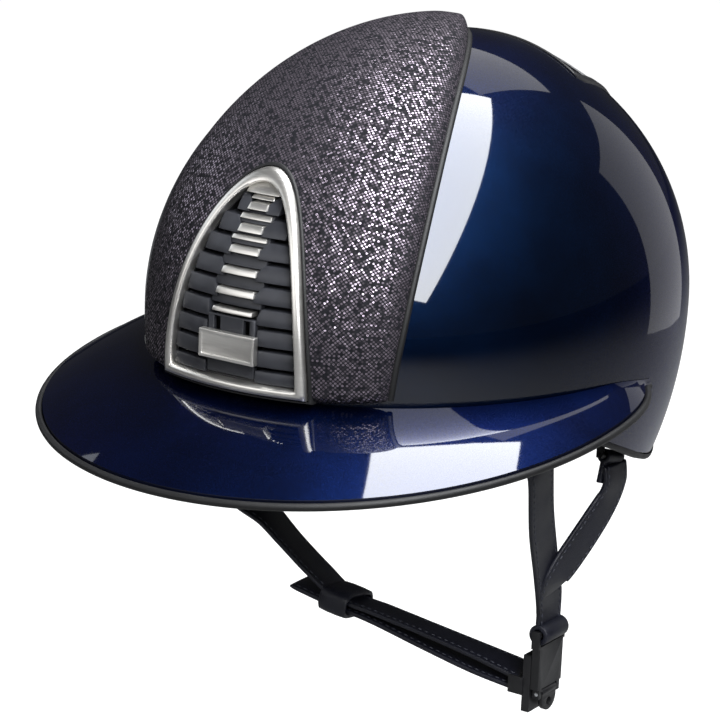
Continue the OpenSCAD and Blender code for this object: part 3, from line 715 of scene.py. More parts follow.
@dataclass(frozen=True)
class Moulding(Finish):
    """Moulded plastic or rubber with a fine grain, rubbed edges and dust."""

    colour: Colour = rgb(0.012, 0.012, 0.014)
    rough: float = 0.42
    grain_scale: float = 2200.0
    grain_depth: float = 0.03
    rubbed: Colour = rgb(0.05, 0.05, 0.055)
    gloss: float = 0.3

    def surface(self, g: Graph, place: Socket) -> dict[str, object]:
        """Grain for the bump and the tone, wear along the edges."""
        grain = self.group(g, grain_group(), place, Scale=self.grain_scale)
        body = g.blend(grain.outputs["Tone"], toned(self.colour, 0.7), self.colour)
        worn = self.worn(g, place, body, self.rubbed, 0.22, 420.0)
        return {"Base Color": self.dusted(g, place, worn, 0.03, rgb(0.2, 0.2, 0.2)),
                "Roughness": g.math("MULTIPLY_ADD", grain.outputs["Tone"], 0.08, self.rough),
                "Specular IOR Level": self.gloss,
                "Normal": self.bump(g, grain.outputs["Height"], self.grain_depth, 0.6)}


@dataclass(frozen=True)
class Leather(Finish):
    """Soft finished leather: pebbled grain, creases and lighter rubbed edges."""

    colour: Colour = rgb(0.0055, 0.0062, 0.013)

    def surface(self, g: Graph, place: Socket) -> dict[str, object]:
        """Pebbles, pores and long creases."""
        grain = self.group(g, grain_group(), place, Scale=1150.0)
        long = g.add("ShaderNodeMapping", {"Vector": place, "Scale": (90, 90, 520)}).outputs[0]
        creases = g.noise(long, 1.0, 5.0).outputs[0]
        body = g.blend(grain.outputs["Tone"], toned(self.colour, 0.55), self.colour)
        pored = g.blend(grain.outputs["Pores"], rgb(0.002, 0.002, 0.003), body)
        worn = self.worn(g, place, pored, rgb(0.11, 0.115, 0.14), 0.4, 260.0)
        height = g.math("ADD", grain.outputs["Height"], g.math("MULTIPLY", creases, 0.8))
        return {"Base Color": self.dusted(g, place, worn, 0.015, rgb(0.2, 0.2, 0.2)),
                "Roughness": g.math("MULTIPLY_ADD", grain.outputs["Tone"], 0.14, 0.38),
                "Specular IOR Level": 0.3, "Normal": self.bump(g, height, 0.11, 0.7)}


@dataclass(frozen=True)
class Thread(Finish):
    """Waxed sewing thread with a twist."""

    colour: Colour = rgb(0.022, 0.024, 0.038)

    def surface(self, g: Graph, place: Socket) -> dict[str, object]:
        """A fast wave for the plies, and slight changes of tone."""
        twist = g.add("ShaderNodeTexWave", {"Vector": place, "Scale": 1400.0, "Distortion": 1.5})
        tone = g.noise(place, 500.0).outputs[0]
        return {"Base Color": g.blend(tone, toned(self.colour, 0.5), self.colour), "Roughness": 0.55,
                "Normal": self.bump(g, twist.outputs["Fac"], 0.06, 0.8)}


@dataclass(frozen=True)
class BeadFoam(Finish):
    """Moulded impact foam: fused beads with fine gaps."""

    colour: Colour = rgb(0.016, 0.016, 0.018)

    def surface(self, g: Graph, place: Socket) -> dict[str, object]:
        """Large pebbles for the beads."""
        beads = self.group(g, grain_group(), place, Scale=330.0)
        body = g.blend(beads.outputs["Pores"], rgb(0.004, 0.004, 0.005), self.colour)
        return {"Base Color": self.dusted(g, place, body, 0.06, rgb(0.15, 0.15, 0.15)), "Roughness": 0.75,
                "Normal": self.bump(g, beads.outputs["Height"], 0.35, 0.8)}


@dataclass(frozen=True)
class PadCloth(Finish):
    """Soft black knit with a visible weave and a faint sheen."""

    colour: Colour = rgb(0.022, 0.022, 0.026)

    def surface(self, g: Graph, place: Socket) -> dict[str, object]:
        """Weave and pilling."""
        weave = self.group(g, weave_group(), place, Threads=620.0)
        pile = self.group(g, grain_group(), place, Scale=1800.0)
        body = g.blend(weave.outputs["Tone"], toned(self.colour, 0.35), self.colour)
        height = g.math("ADD", weave.outputs["Height"], g.math("MULTIPLY", pile.outputs["Height"], 0.4))
        return {"Base Color": g.blend(pile.outputs["Tone"], body, toned(self.colour, 1.5)), "Roughness": 0.85,
                "Sheen Weight": 0.35, "Sheen Roughness": 0.4, "Normal": self.bump(g, height, 0.18, 0.8)}


NAVY = Lacquer("navy lacquer")
# A brighter, bluer copy of the shell's navy for the brim: painted light, standing in for how the light falls
# on the peak.
PEAK_NAVY_PAINTED_BRIGHTER = Lacquer("navy lacquer of the peak", rgb(0.0004, 0.0012, 0.0075), rgb(0.0010, 0.0052, 0.036))
PANEL_CLOTH = SparkleTextile("sparkle textile")
SILVER = SatinMetal("satin silver")
STEEL = SatinMetal("bright steel", rgb(0.55, 0.56, 0.58), 0.2)
# Black rubber for the shell's edge and the peak's rim; the same black also paints shade: the groove round the
# panel and the gap round the grille.
BLACK_RUBBER_AND_PAINTED_SHADE = Moulding("black rubber edge", rgb(0.004, 0.004, 0.0045), 0.5, 1500.0, 0.04)
LOUVRE = Moulding("dark grey moulding", rgb(0.024, 0.025, 0.030), 0.34, 2600.0, 0.02, rgb(0.12, 0.12, 0.13))
BLACK_PLASTIC = Moulding("black moulding", rgb(0.007, 0.007, 0.008), 0.36, 2400.0, 0.025)
LINING = Moulding("black peak lining", rgb(0.008, 0.008, 0.010), 0.6, 1200.0, 0.05)
STRAP = Leather("blue-black leather")
THREAD = Thread("waxed thread")
FOAM = BeadFoam("moulded foam")
CLOTH = PadCloth("padding knit")


class GeometryTree:
    """A Geometry Nodes tree with named inputs that is run once on a piece and then removed."""

    def __init__(self, name: str, sizes: dict[str, float], material: Material) -> None:
        """Makes the tree with a size input for each entry, in metres."""
        self.tree = bpy.data.node_groups.new(name, "GeometryNodeTree")
        self.sizes, self.material = sizes, material
        self.tree.interface.new_socket(name="Geometry", in_out="INPUT", socket_type="NodeSocketGeometry")
        self.keys = {}
        for label in sizes:
            socket = self.tree.interface.new_socket(name=label, in_out="INPUT", socket_type="NodeSocketFloat")
            self.keys[label] = socket.identifier
        self.tree.interface.new_socket(name="Geometry", in_out="OUTPUT", socket_type="NodeSocketGeometry")
        self.graph = Graph(self.tree)
        self.source = self.graph.add("NodeGroupInput")

    def close(self, instances: Socket) -> None:
        """Realizes the instances, gives them the material and joins them to the output."""
        real = self.graph.add("GeometryNodeRealizeInstances", {0: instances}).outputs[0]
        dressed = self.graph.add("GeometryNodeSetMaterial", {0: real})
        dressed.inputs["Material"].default_value = self.material
        self.tree.links.new(dressed.outputs[0], self.graph.add("NodeGroupOutput").inputs[0])

    def run(self, name: str, carrier: bpy.types.Mesh) -> Piece:
        """Runs the tree on a carrier mesh and returns the plain result."""
        obj = placed(name, carrier)
        modifier = obj.modifiers.new("Make", "NODES")
        modifier.node_group = self.tree
        for label, key in self.keys.items():
            modifier[key] = self.sizes[label]
        evaluated(obj)
        obj.data.shade_smooth()
        return obj


def line_mesh(name: str, lines: Sequence[Array]) -> bpy.types.Mesh:
    """A mesh of open lines through points in millimetres."""
    edges, start = [], 0
    for line in lines:
        edges += [(start + i, start + i + 1) for i in range(len(line) - 1)]
        start += len(line)
    mesh = bpy.data.meshes.new(name)
    mesh.from_pydata((np.concatenate(lines) * MM).tolist(), edges, [])
    return mesh


def sewn(name: str, lines: Sequence[Array], pitch: float = 3.4, stitch: float = 2.3,
         radius: float = 0.34) -> Piece:
    """Rows of stitches along lines.

    Args:
        name: Name of the piece.
        lines: Rows of points in millimetres.
        pitch: Distance from stitch to stitch.
        stitch: Length of one stitch.
        radius: Half its thickness.

    Returns:
        One mesh with every stitch.
    """
    sizes = {"Pitch": pitch * MM, "Stitch": stitch * MM, "Radius": radius * MM}
    tree = GeometryTree("row of stitches", sizes, THREAD.material())
    g = tree.graph
    curve = g.add("GeometryNodeMeshToCurve", {0: tree.source.outputs["Geometry"]}).outputs[0]
    points = g.add("GeometryNodeCurveToPoints", {0: curve}, mode="LENGTH")
    g.feed(points.inputs["Length"], tree.source.outputs["Pitch"])
    bead = g.add("GeometryNodeMeshUVSphere", {"Segments": 6, "Rings": 4, "Radius": 1.0}).outputs[0]
    half = g.math("MULTIPLY", tree.source.outputs["Stitch"], 0.5)
    thick = tree.source.outputs["Radius"]
    size = g.add("ShaderNodeCombineXYZ", {0: thick, 1: thick, 2: half})
    beads = g.add("GeometryNodeInstanceOnPoints", {"Points": points.outputs["Points"], "Instance": bead,
                                                   "Rotation": points.outputs["Rotation"],
                                                   "Scale": size.outputs[0]})
    tree.close(beads.outputs[0])
    return tree.run(name, line_mesh(name, lines))


@dataclass(frozen=True)
class Ribbon:
    """A leather strap: a rounded flat section that follows a path."""

    path: Sequence[Sequence[float]]
    across: Sequence[Sequence[float]]
    width: float = 19.0
    thick: float = 2.2
    steps: int = 10
    taper: float = 1.6
    inset: float = 2.1
    unsewn: int = 2

    def frame(self) -> tuple[Array, Array, Array]:
        """Centre line, direction across and direction out of the face at each place."""
        line = smooth_path(self.path, self.steps)
        side = unit(smooth_path(self.across, self.steps))
        run = unit(np.gradient(line, axis=0))
        out = unit(np.cross(run, side))
        return line, unit(np.cross(out, run)), out

    def mirrored(self) -> "Ribbon":
        """The same strap on the other side of the middle plane."""
        flip = np.array([-1.0, 1.0, 1.0])
        path, across = np.asarray(self.path) * flip, -np.asarray(self.across, float) * flip
        return Ribbon(path.tolist(), across.tolist())

    def build(self, name: str) -> Piece:
        """The strap as a closed mesh with burnished round edges and a shallow groove inside each edge."""
        line, side, out = self.frame()
        half, deep = self.width / 2, self.thick / 2
        corner = np.array([(1.0, 0.0), (0.985, 0.62), (0.945, 0.93), (0.88, 0.98), (0.80, 0.86), (0.72, 0.98),
                           (0.4, 1.06), (0.0, 1.1)])
        top = np.concatenate([corner, corner[-2:0:-1] * (-1, 1)])
        section = np.concatenate([top, -top[[0]], (top * (1, -1))[:0:-1]])
        step = np.arange(len(line))
        ends = ease(np.minimum(step, step[::-1]) / self.taper) * 0.5 + 0.5
        rings = (line[:, None] + side[:, None] * section[None, :, :1] * half
                 + out[:, None] * section[None, :, 1:] * deep * ends[:, None, None])
        return mesh_piece(name, *grid(rings, caps=True), material=STRAP.material(), smooth_angle=50)

    def seams(self) -> list[Array]:
        """Lines for the stitches along both edges of both faces."""
        line, side, out = self.frame()
        span = slice(self.unsewn, len(line) - self.unsewn)
        return [(line + side * s * (self.width / 2 - self.inset) + out * f * (self.thick / 2 - 0.05))[span]
                for s in (-1, 1) for f in (-1, 1)]


@dataclass
class Shell:
    """The hard shell with its black edge."""

    around: int = 216
    rows: int = 64
    vent: Triple = (33.0, 3.5, 85.5)

    def build(self) -> None:
        """Makes the shell and its edge."""
        self.skin()
        self.edge()

    def skin(self) -> None:
        """Both faces of the shell, joined round the hem, with openings for the two vents."""
        a = np.linspace(-180, 180, self.around, endpoint=False)
        low = FORM.latitude(FORM.hem(a))
        t = low[None] + (90 - low[None]) * np.linspace(0, 1, self.rows)[:, None]
        outer, inner = FORM.dome(a[None], t, 0.0), FORM.dome(a[None], t, -FORM.wall)
        lip = FORM.dome(a, low, -0.6)[None]
        rings = np.concatenate([inner[::-1], lip, outer])
        shell = mesh_piece("shell_skin", *grid(rings), NAVY.material(), weld=2e-5)
        cut_with(shell, arch(*self.vent), 1, *FACE_CUT)
        cut_with(shell, RearVent.outline(6.0), 2, *CROWN_CUT)
        wrap_normals(shell)
        settle(shell, Body.HELMET, Slot.SHELL, "outer_shell")

    def edge(self) -> None:
        """The rubber channel that grips the shell's edge."""
        section = np.array([(0.55, 0.5), (0.7, 0.1), (0.75, -1.0), (0.55, -1.6), (0.1, -1.95), (-2.9, -1.95),
                            (-3.5, -1.6), (-3.8, -0.9), (-3.8, 2.4), (-3.5, 2.6), (-2.9, 2.4), (-2.9, -0.3),
                            (0.25, -0.3), (0.25, 0.5)])
        a = np.linspace(-180, 180, 240, endpoint=False)[:, None]
        level = FORM.hem(a) + section[None, :, 1]
        rings = polar(a, FORM.reach(a, level, section[None, :, 0]), level)
        edge = mesh_piece("shell_edge", *grid(rings, closed_loop=True), material=BLACK_RUBBER_AND_PAINTED_SHADE.material())
        settle(edge, Body.HELMET, Slot.TRIM, "shell_edge_trim")


@dataclass
class Peak:
    """The wide brim, its rim and the screws that hold its flange."""

    reach_terms: tuple[float, ...] = (52, 184, -69, 37, -7)
    level_terms: tuple[float, ...] = (-10.7, -12, -3.2, -1.1, 0)
    end: float = 93.0
    bead: float = 1.6
    wall: float = 3.2
    brow: float = 7.0

    def series(self, terms: tuple[float, ...], a: Array) -> Array:
        """Sum of cosines of multiples of a."""
        return sum(c * cosd(k * np.asarray(a)) for k, c in enumerate(terms))

    def edge_reach(self, a: Array) -> Array:
        """Distance from the Z axis to the rim."""
        shell = FORM.reach(a, -6.0, 0.3)
        ledge = 4.6 - 3.4 * ease((np.abs(a) - 82) / 10)
        return np.maximum(self.series(self.reach_terms, a), shell + ledge)

    def sections(self, a: Array) -> tuple[Array, Array]:
        """Top and under side of the brim, each with a row of points for every direction."""
        turn = np.abs(a)[:, None]
        col = a[:, None]
        low = -1 - 5 * ease((turn - 75) / 25)
        near = FORM.reach(col, low, 0.3)
        far = np.maximum(self.edge_reach(col) - 2 * self.bead + 0.1, near + 0.5)
        end = self.series(self.level_terms, col) + 1
        swell = np.minimum(1, (far - near) / 40)
        thick = self.wall * (1 - 0.5 * ease((turn - 85) / 15))
        root = np.minimum(3, (far - near) / 2)
        flange = np.minimum(6, low - FORM.hem(col) - 3.0) * (1 - 0.6 * ease((turn - 75) / 25))
        u = np.linspace(0, 1, 40)[None] ** 0.9
        top = polar(col, near + (far - near) * u, low + (end - low) * u + self.brow * u * (1 - u) * swell)
        v = u[:, ::-1] * 0.8 + 0.2
        under = polar(col, near + root + (far - near - root) * v,
                      low + (end - low) * v - thick + self.brow * v * (1 - v) * swell)
        wall = FORM.reach(col, low - flange, 0.3)
        foot = polar(col, np.concatenate([np.maximum(wall, near) + root, wall], 1), low - flange)
        return top, np.concatenate([under, foot], 1)

    def build(self) -> None:
        """Makes the brim, its black lining, its rim and its screws."""
        a = np.linspace(-self.end, self.end, 241)
        top, under = self.sections(a)
        rings = np.concatenate([top, under], 1)
        brim = mesh_piece("peak_brim", *grid(rings, caps=True), PEAK_NAVY_PAINTED_BRIGHTER.material(), smooth_angle=45)
        brim.data.materials.append(LINING.material())
        for face in brim.data.polygons:
            if face.normal.z < -0.3:
                face.material_index = 1
        settle(brim, Body.HELMET, Slot.SHELL, "peak")
        self.rim(a)
        self.screw_heads()

    def rim(self, a: Array) -> None:
        """The rounded black bead round the edge."""
        turn = np.linspace(0, 360, 16, endpoint=False)[None]
        r = self.edge_reach(a)[:, None] - self.bead
        z = self.series(self.level_terms, a)[:, None] - 1.4
        rings = polar(a[:, None], r + self.bead * cosd(turn), z + self.bead * sind(turn))
        settle(mesh_piece("peak_rim", *grid(rings, caps=True), material=BLACK_RUBBER_AND_PAINTED_SHADE.material(), smooth_angle=60),
               Body.HELMET, Slot.TRIM, "peak_edge_bead")

    def screw_heads(self) -> None:
        """The frame's screws, with rounded heads."""
        heads = refined("peak_screws", "peak_screw_heads", STEEL.material(), 0.25)
        settle(heads, Body.HELMET, Slot.STEEL, "peak_screws")


@dataclass
class FrontPanel:
    """The raised panel with its textile skin, and a black bead round its foot that paints the shade of the
    groove there.
    """

    half: float = 62.2
    rise: float = 6.5
    foot: float = -5.6
    head: float = 97.0
    rows: int = 150

    def width(self, t: Array) -> Array:
        """Half width at latitude t."""
        t = np.asarray(t, float)
        above = self.half * np.maximum(0, 1 - (np.maximum(t - 15, 0) / 82) ** 2.1) ** 0.8
        return np.where(t < 15, self.half - 2.8 * ((15 - t) / 20) ** 2, above)

    def lift(self, u: Array) -> Array:
        """Height above the shell across the panel, round at the edges."""
        return 1.2 + (self.rise - 1.2) * np.maximum(0, 1 - np.abs(u) ** 8) ** 0.4

    def build(self) -> None:
        """Makes the panel, with cloth coordinates in millimetres, and the black bead of painted shade at its
        foot.
        """
        across = np.concatenate([-1 + 0.06 * (1 - cosd(np.linspace(0, 90, 9)[:-1])),
                                 np.linspace(-0.94, 0.94, 61),
                                 1 - 0.06 * (1 - cosd(np.linspace(90, 0, 9)[1:]))])
        t = np.concatenate([np.linspace(self.foot, self.foot + 1.4, 5)[:-1],
                            np.linspace(self.foot + 1.4, 92, self.rows),
                            np.linspace(92, self.head - 0.2, 18)[1:]])
        brim = np.maximum(0, 1 - ((t - 92) / 5.4).clip(0) ** 3) ** 0.5
        edge = np.minimum(ease((t - self.foot) / 1.4 * 0.5 + 0.5), brim)
        lift = 0.3 + (self.lift(across)[None] - 0.3) * edge[:, None]
        x = self.width(t)[:, None] * across[None]
        outer = FORM.over(x, t[:, None], lift)
        base = FORM.over(x[:, ::-1], t[:, None], 0.3)
        rings = np.concatenate([outer, base], 1)
        middle = FORM.over(0.0, t, self.rise)
        climb = np.concatenate([[0], np.cumsum(np.linalg.norm(np.diff(middle, axis=0), axis=-1))])
        steps = np.linalg.norm(np.diff(outer, axis=1), axis=-1)
        along = np.concatenate([np.zeros((len(t), 1)), np.cumsum(steps, 1)], 1)
        along -= along[:, [len(across) // 2]]
        uv_out = np.stack([along, np.broadcast_to(climb[:, None], along.shape)], -1)
        uv = np.concatenate([uv_out, uv_out[:, ::-1]], 1).reshape(-1, 2)
        panel = mesh_piece("front_textile", *grid(rings, caps=True), PANEL_CLOTH.material(), uv, 55)
        cut_with(panel, arch(36.0, 1.0, 89.2), 1, *FACE_CUT)
        finish_mesh(panel, 55)
        settle(panel, Body.HELMET, Slot.TEXTILE, "front_panel")
        self.painted_groove_shade(t)

    def painted_groove_shade(self, t: Array) -> None:
        """A thin black bead where the panel meets the shell: painted shade standing in for the shadowed
        groove there.
        """
        left = FORM.over(self.width(t) + 0.5, t, 0.4)
        right = FORM.over(-self.width(t) - 0.5, t, 0.4)
        line = np.concatenate([left, right[::-1]])[::2]
        run = unit(np.gradient(line, axis=0))
        out = FORM.normal(line)
        side = unit(np.cross(run, out))
        turn = np.linspace(0, 360, 10, endpoint=False)
        ring = side[:, None] * 1.5 * cosd(turn)[None, :, None] + out[:, None] * sind(turn)[None, :, None]
        bead = grid(line[:, None] + ring, caps=True)
        # Black rubber laid where the groove is only in shade: painted shade.
        settle(mesh_piece("panel_gasket", *bead, material=BLACK_RUBBER_AND_PAINTED_SHADE.material(), smooth_angle=60),
               Body.HELMET, Slot.TRIM)


@dataclass
class Grille:
    """The arched vent: frame, louvres, silver strips, guide, blank slider plate, shutter and mesh."""

    foot: float = 4.9
    pitch: float = 8.25
    count: int = 9
    blade: float = 6.3
    tabs: tuple[Triple, ...] = ((32.8, 34.2, 9.9), (39.8, 42.0, 9.4), (47.9, 50.0, 8.5), (56.0, 58.2, 7.3),
                                (64.0, 66.4, 5.9), (72.4, 74.5, 4.8))
    ledges: tuple[Triple, ...] = ((60.4, 62.2, 8.6), (68.2, 70.2, 7.7), (75.6, 77.2, 5.6))
    inner: Triple = (29.6, 7.0, 81.5)
    guide_top: float = 31.2

    def build(self) -> None:
        """Makes every part of the grille."""
        self.frame()
        self.louvres()
        self.strips()
        self.slider()

    def swept(self, name: str, shape: Callable[[float], Array], section: Array, material: Material) -> Piece:
        """A closed arch whose section is given as share of the way inwards and height above the shell."""
        rings = np.stack([FORM.on_face(shape(s)[:, 0], shape(s)[:, 1], o) for s, o in section], 1)
        return mesh_piece(name, *grid(rings, closed_loop=True), material=material, smooth_angle=50)

    def frame(self) -> None:
        """The satin frame with its rounded face, and a black band outside it that paints the shadow gap
        between frame and panel.
        """
        outside, inside = arch(34.8, 2.0, 88.0), arch(30.3, 6.0, 82.5)
        face = np.array([(0.0, 0.4), (0.0, 6.6), (0.02, 7.6), (0.09, 8.35), (0.20, 8.7), (0.45, 8.85),
                         (0.68, 8.75), (0.84, 8.4), (0.93, 7.8), (0.98, 6.9), (1.0, 5.6), (1.0, 0.4)])
        frame_piece = self.swept("vent_surround_silver", lambda s: outside * (1 - s) + inside * s, face,
                                 SILVER.material())
        settle(frame_piece, Body.HELMET, Slot.SILVER, "grille_frame")
        # A black band over the gap between frame and panel, where there is only shade: painted shadow.
        wide = arch(36.6, 0.6, 89.6)
        groove = np.array([(0.0, 0.6), (0.0, 6.6), (0.3, 7.1), (0.7, 7.0), (1.0, 6.2), (1.0, 0.6)])
        close = arch(34.9, 1.9, 88.1)
        surround = self.swept("vent_groove_black", lambda s: wide * (1 - s) + close * s, groove,
                              BLACK_RUBBER_AND_PAINTED_SHADE.material())
        settle(surround, Body.HELMET, Slot.TRIM)

    def middle(self, z: float) -> float:
        """Half width of the low middle part of a louvre at level z."""
        return 12.2 if z < self.guide_top else 15.4 - 0.085 * (z - 10) - 0.00055 * (z - 10) ** 2

    def block(self, rows: Sequence[tuple[float, ...]], back: float, pieces: int = 8) -> Part:
        """A blade that follows the shell's curve.

        Args:
            rows: From foot to head, the x of both ends, the level and the height above the shell.
            back: Height of its rear face above the shell.
            pieces: Steps from end to end.

        Returns:
            Points and faces.
        """
        table = np.array([*rows, *[(x0, x1, z, back) for x0, x1, z, _ in rows[::-1]]])
        rings = [FORM.on_face(table[:, 0] + (table[:, 1] - table[:, 0]) * s, table[:, 2], table[:, 3])
                 for s in np.linspace(0, 1, pieces + 1)]
        return grid(np.array(rings), caps=True)

    def gathered(self, name: str, parts: Sequence[Part], material: Material, bevel: float) -> Piece:
        """Several blades as one piece with rounded edges."""
        piece = mesh_piece(name, *merged(parts), material, smooth_angle=30)
        add_modifier(piece, "BEVEL", width=bevel * MM, segments=2, limit_method="ANGLE",
                     angle_limit=math.radians(38))
        finish_mesh(piece, 35)
        return piece

    def louvres(self) -> None:
        """Dark blades each side of the middle with one corner cut off, and the bars between them."""
        parts = []
        for k in range(self.count):
            level = self.foot + self.pitch * k
            z0, z1 = max(6.3, level), level + self.blade
            waist = z0 + 0.45 * (z1 - z0)
            inner = self.middle(z1)
            notch = 0.0 if level < self.guide_top - self.pitch else 1.3 if level < self.guide_top else 3.2
            outer = float(arch_half(*self.inner, z1)) + 0.9
            for side in (-1, 1):
                cut, full, far = side * (inner - notch), side * inner, side * outer
                blade = [(cut, far, z0, 5.4), (cut, far, waist, 5.4), (full, far, z1, 5.0)]
                parts.append(self.block(blade, -1.0))
        for (low, _, w0), (high, _, w1) in zip(self.tabs, self.tabs[1:]):
            bar = max(w0, w1) + 2.2
            parts.append(self.block([(-bar, bar, low + 2.6, 4.3), (-bar, bar, high - 0.5, 4.0)], -1.0))
        parts.append(self.block([(-12.4, 12.4, 6.7, 3.4), (-12.4, 12.4, 8.4, 3.2)], -1.0))
        blades = self.gathered("vent_blades", parts, LOUVRE.material(), 0.35)
        lip, cavity = arch(32.4, 4.2, 84.6), arch(*self.inner)
        section = np.array([(0.0, -2.4), (0.0, 0.1), (0.4, 3.8), (1.0, 3.8), (1.0, -2.4)])
        wall = self.swept("vent_inner_wall", lambda s: lip * (1 - s) + cavity * s, section,
                          BLACK_PLASTIC.material())
        settle(joined("vent_louvres", [blades, wall]), Body.HELMET, Slot.LOUVRE, "grille_louvres")

    def strips(self) -> None:
        """Silver strips on the middle bars, and the cap under the arch's head."""
        parts = [self.block([(-w, w, z0 - 0.4, 6.2), (-w + 0.4, w - 0.4, z1, 5.9)], 1.6)
                 for z0, z1, w in self.tabs]
        parts += [self.block([(-w, w, z0, 5.0), (-w + 0.5, w - 0.5, z1, 4.8)], 1.6)
                  for z0, z1, w in self.ledges]
        cap = [(-8.2, 8.2, 77.9, 6.4), (-7.6, 7.6, 80.0, 6.2), (-5.2, 5.2, 82.6, 5.8)]
        parts.append(self.block(cap, 0.8))
        strips = self.gathered("vent_silver_strips", parts, SILVER.material(), 0.3)
        settle(strips, Body.HELMET, Slot.SILVER, "louvre_inlays")

    def slider(self) -> None:
        """Guide, blank plate, shutter and mesh."""
        for node, name, finish, bevel, segments, body, slot in (
                ("slider_guide", "slider_backplate", LOUVRE, 0.5, 2, Body.HELMET, Slot.LOUVRE),
                ("vent_slider", "slider_plate", SILVER, 0.3, 3, Body.SLIDER, Slot.SILVER),
                ("vent_shutter", "slider_shutter", BLACK_PLASTIC, 0.2, 2, Body.SLIDER, Slot.LOUVRE)):
            settle(refined(node, name, finish.material(), bevel, segments), body, slot, node)
        dress(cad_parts["vent_mesh"], LINING.material())


@dataclass
class RearVent:
    """The black insert high at the rear: a frame with a flange and five slats."""

    slats: int = 5

    @staticmethod
    def half(y: Array, s: float = 0.0) -> Array:
        """Half width of the opening at y, drawn in by s."""
        return 57 - s - 21 * np.maximum(0, (np.asarray(y, float) - 30) / 74) ** 1.5

    @classmethod
    def outline(cls, s: float) -> Array:
        """Outline in x and y, drawn in by s."""
        w = 55 - s
        x = np.linspace(-w, w, 33)
        front = np.stack([x, 36 + s - 10 * (x / w) ** 2], -1)
        y = np.linspace(30 + s, 104 - s, 26)
        right = np.stack([cls.half(y, s), y], -1)
        back_x = np.linspace(float(cls.half(104 - s, s)), -float(cls.half(104 - s, s)), 16)[1:-1]
        back = np.stack([back_x, np.full(len(back_x), 106 - s)], -1)
        return np.concatenate([front, right, back, np.stack([-right[::-1, 0], right[::-1, 1]], -1)])

    def build(self) -> None:
        """Makes the frame and the slats."""
        rim = ((0.5, -0.9), (0.9, 0.5), (2.0, 0.9), (5.0, 0.6), (6.0, 0.1), (6.3, -2.3), (1.5, -2.3))
        rings = np.stack([FORM.on_crown(*self.outline(inset).T, height) for inset, height in rim], 1)
        piece = mesh_piece("rear_vent_rim", *grid(rings, closed_loop=True), material=BLACK_PLASTIC.material())
        settle(piece, Body.HELMET, Slot.TRIM, "rear_vent_frame")
        parts = []
        section = ((0, -2.2), (0, -0.6), (0.6, -0.1), (4.0, -0.4), (4.6, -1.0), (4.6, -2.4))
        for k in range(self.slats):
            y = 46 + 11.4 * k
            w = float(self.half(y + 4, 6)) - 0.3
            x = np.linspace(-w, w, 25)
            ring = np.stack([FORM.on_crown(x, np.full(25, y + dy), h) for dy, h in section], 1)
            parts.append(grid(ring, caps=True))
        slats = mesh_piece("rear_vent_blades", *merged(parts), BLACK_PLASTIC.material())
        settle(slats, Body.HELMET, Slot.TRIM, "rear_vent_slats")


@dataclass
class Liner:
    """Impact foam and the soft padding inside."""

    swell: float = 1.6
    frames: int = 14

    def build(self) -> None:
        """Dresses the foam and swells the pads."""
        for node, finish in (("foam_liner", FOAM), ("pad_fasteners", BLACK_PLASTIC)):
            dress(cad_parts[node], finish.material())
        for place, fill in (("headband", 0.7), ("crown", 0.6), ("nape", 0.7), ("left_side", 0.7),
                            ("right_side", 0.7)):
            pad = self.swollen(place + "_pad", place + "_cushion")
            settle(pad, Body.HELMET, Slot.PAD, place + "_pad")

    def swollen(self, node: str, name: str) -> Piece:
        """A pad swelled by pressure inside its cover.

        Args:
            node: The frame's plain pad.
            name: Name of the cushion.

        Returns:
            The cushion, rounded and smooth.
        """
        pad = refined(node, name, CLOTH.material(), 0.8, 2)
        add_modifier(pad, "REMESH", mode="VOXEL", voxel_size=0.0024, use_smooth_shade=True)
        rest = corners(pad)
        self.inflate(pad)
        move = corners(pad) - rest
        size = np.linalg.norm(move, axis=1, keepdims=True)
        move *= np.minimum(1, self.swell * MM / np.maximum(size, 1e-9))
        pad.data.vertices.foreach_set("co", (rest + move).ravel())
        add_modifier(pad, "SMOOTH", factor=0.5, iterations=4)
        pad.data.shade_smooth()
        dress(pad, CLOTH.material())
        return pad

    def inflate(self, pad: Piece) -> None:
        """Runs the cover as cloth with pressure inside."""
        scene = bpy.context.scene
        cloth = pad.modifiers.new("Cloth", "CLOTH")
        cloth.settings.use_pressure = True
        cloth.settings.uniform_pressure_force = 4.0
        cloth.settings.quality = 4
        cloth.settings.effector_weights.gravity = 0.0
        cloth.point_cache.frame_start, cloth.point_cache.frame_end = 1, self.frames
        for number in range(1, self.frames + 1):
            scene.frame_set(number)
        evaluated(pad)
        scene.frame_set(1)


FRONT_LIMB = Ribbon([(91.2, -52.6, -29.0), (91.9, -51.6, -34), (91.4, -49.3, -40), (87, -39, -62),
                     (82, -25, -84), (78.9, -15, -102), (77.6, -11.3, -109.5), (77.4, -11, -117.2)],
                    [(0, 1, lean) for lean in (0.3, 0.35, 0.4, 0.4, 0.5, 0.3, 0.05, 0)])
REAR_LIMB = Ribbon([(88.7, 19.4, -50.5), (89.4, 19.3, -55.5), (89.2, 19.0, -60), (87.4, 16.5, -67.5),
                    (85.6, 7, -77), (84.6, -5, -85.5), (82.6, -14.5, -94), (78.9, -15.4, -103)],
                   [(0, 1, lean) for lean in (-0.1, -0.1, -0.15, -0.5, -1.15, -1.2, -0.5, 0.2)])
RIGHT_FRONT = Ribbon([*FRONT_LIMB.path[1:5], (81.6, -23.9, -86.2)],
                     [*FRONT_LIMB.across[1:5], (0, 1, 0.5)]).mirrored()
RIGHT_REAR = Ribbon([*REAR_LIMB.path[:5], (86, -6, -85), (83.6, -13, -91)],
                    [*REAR_LIMB.across[:5], (0, 1, -1.5), (0, 1, -1.3)]).mirrored()
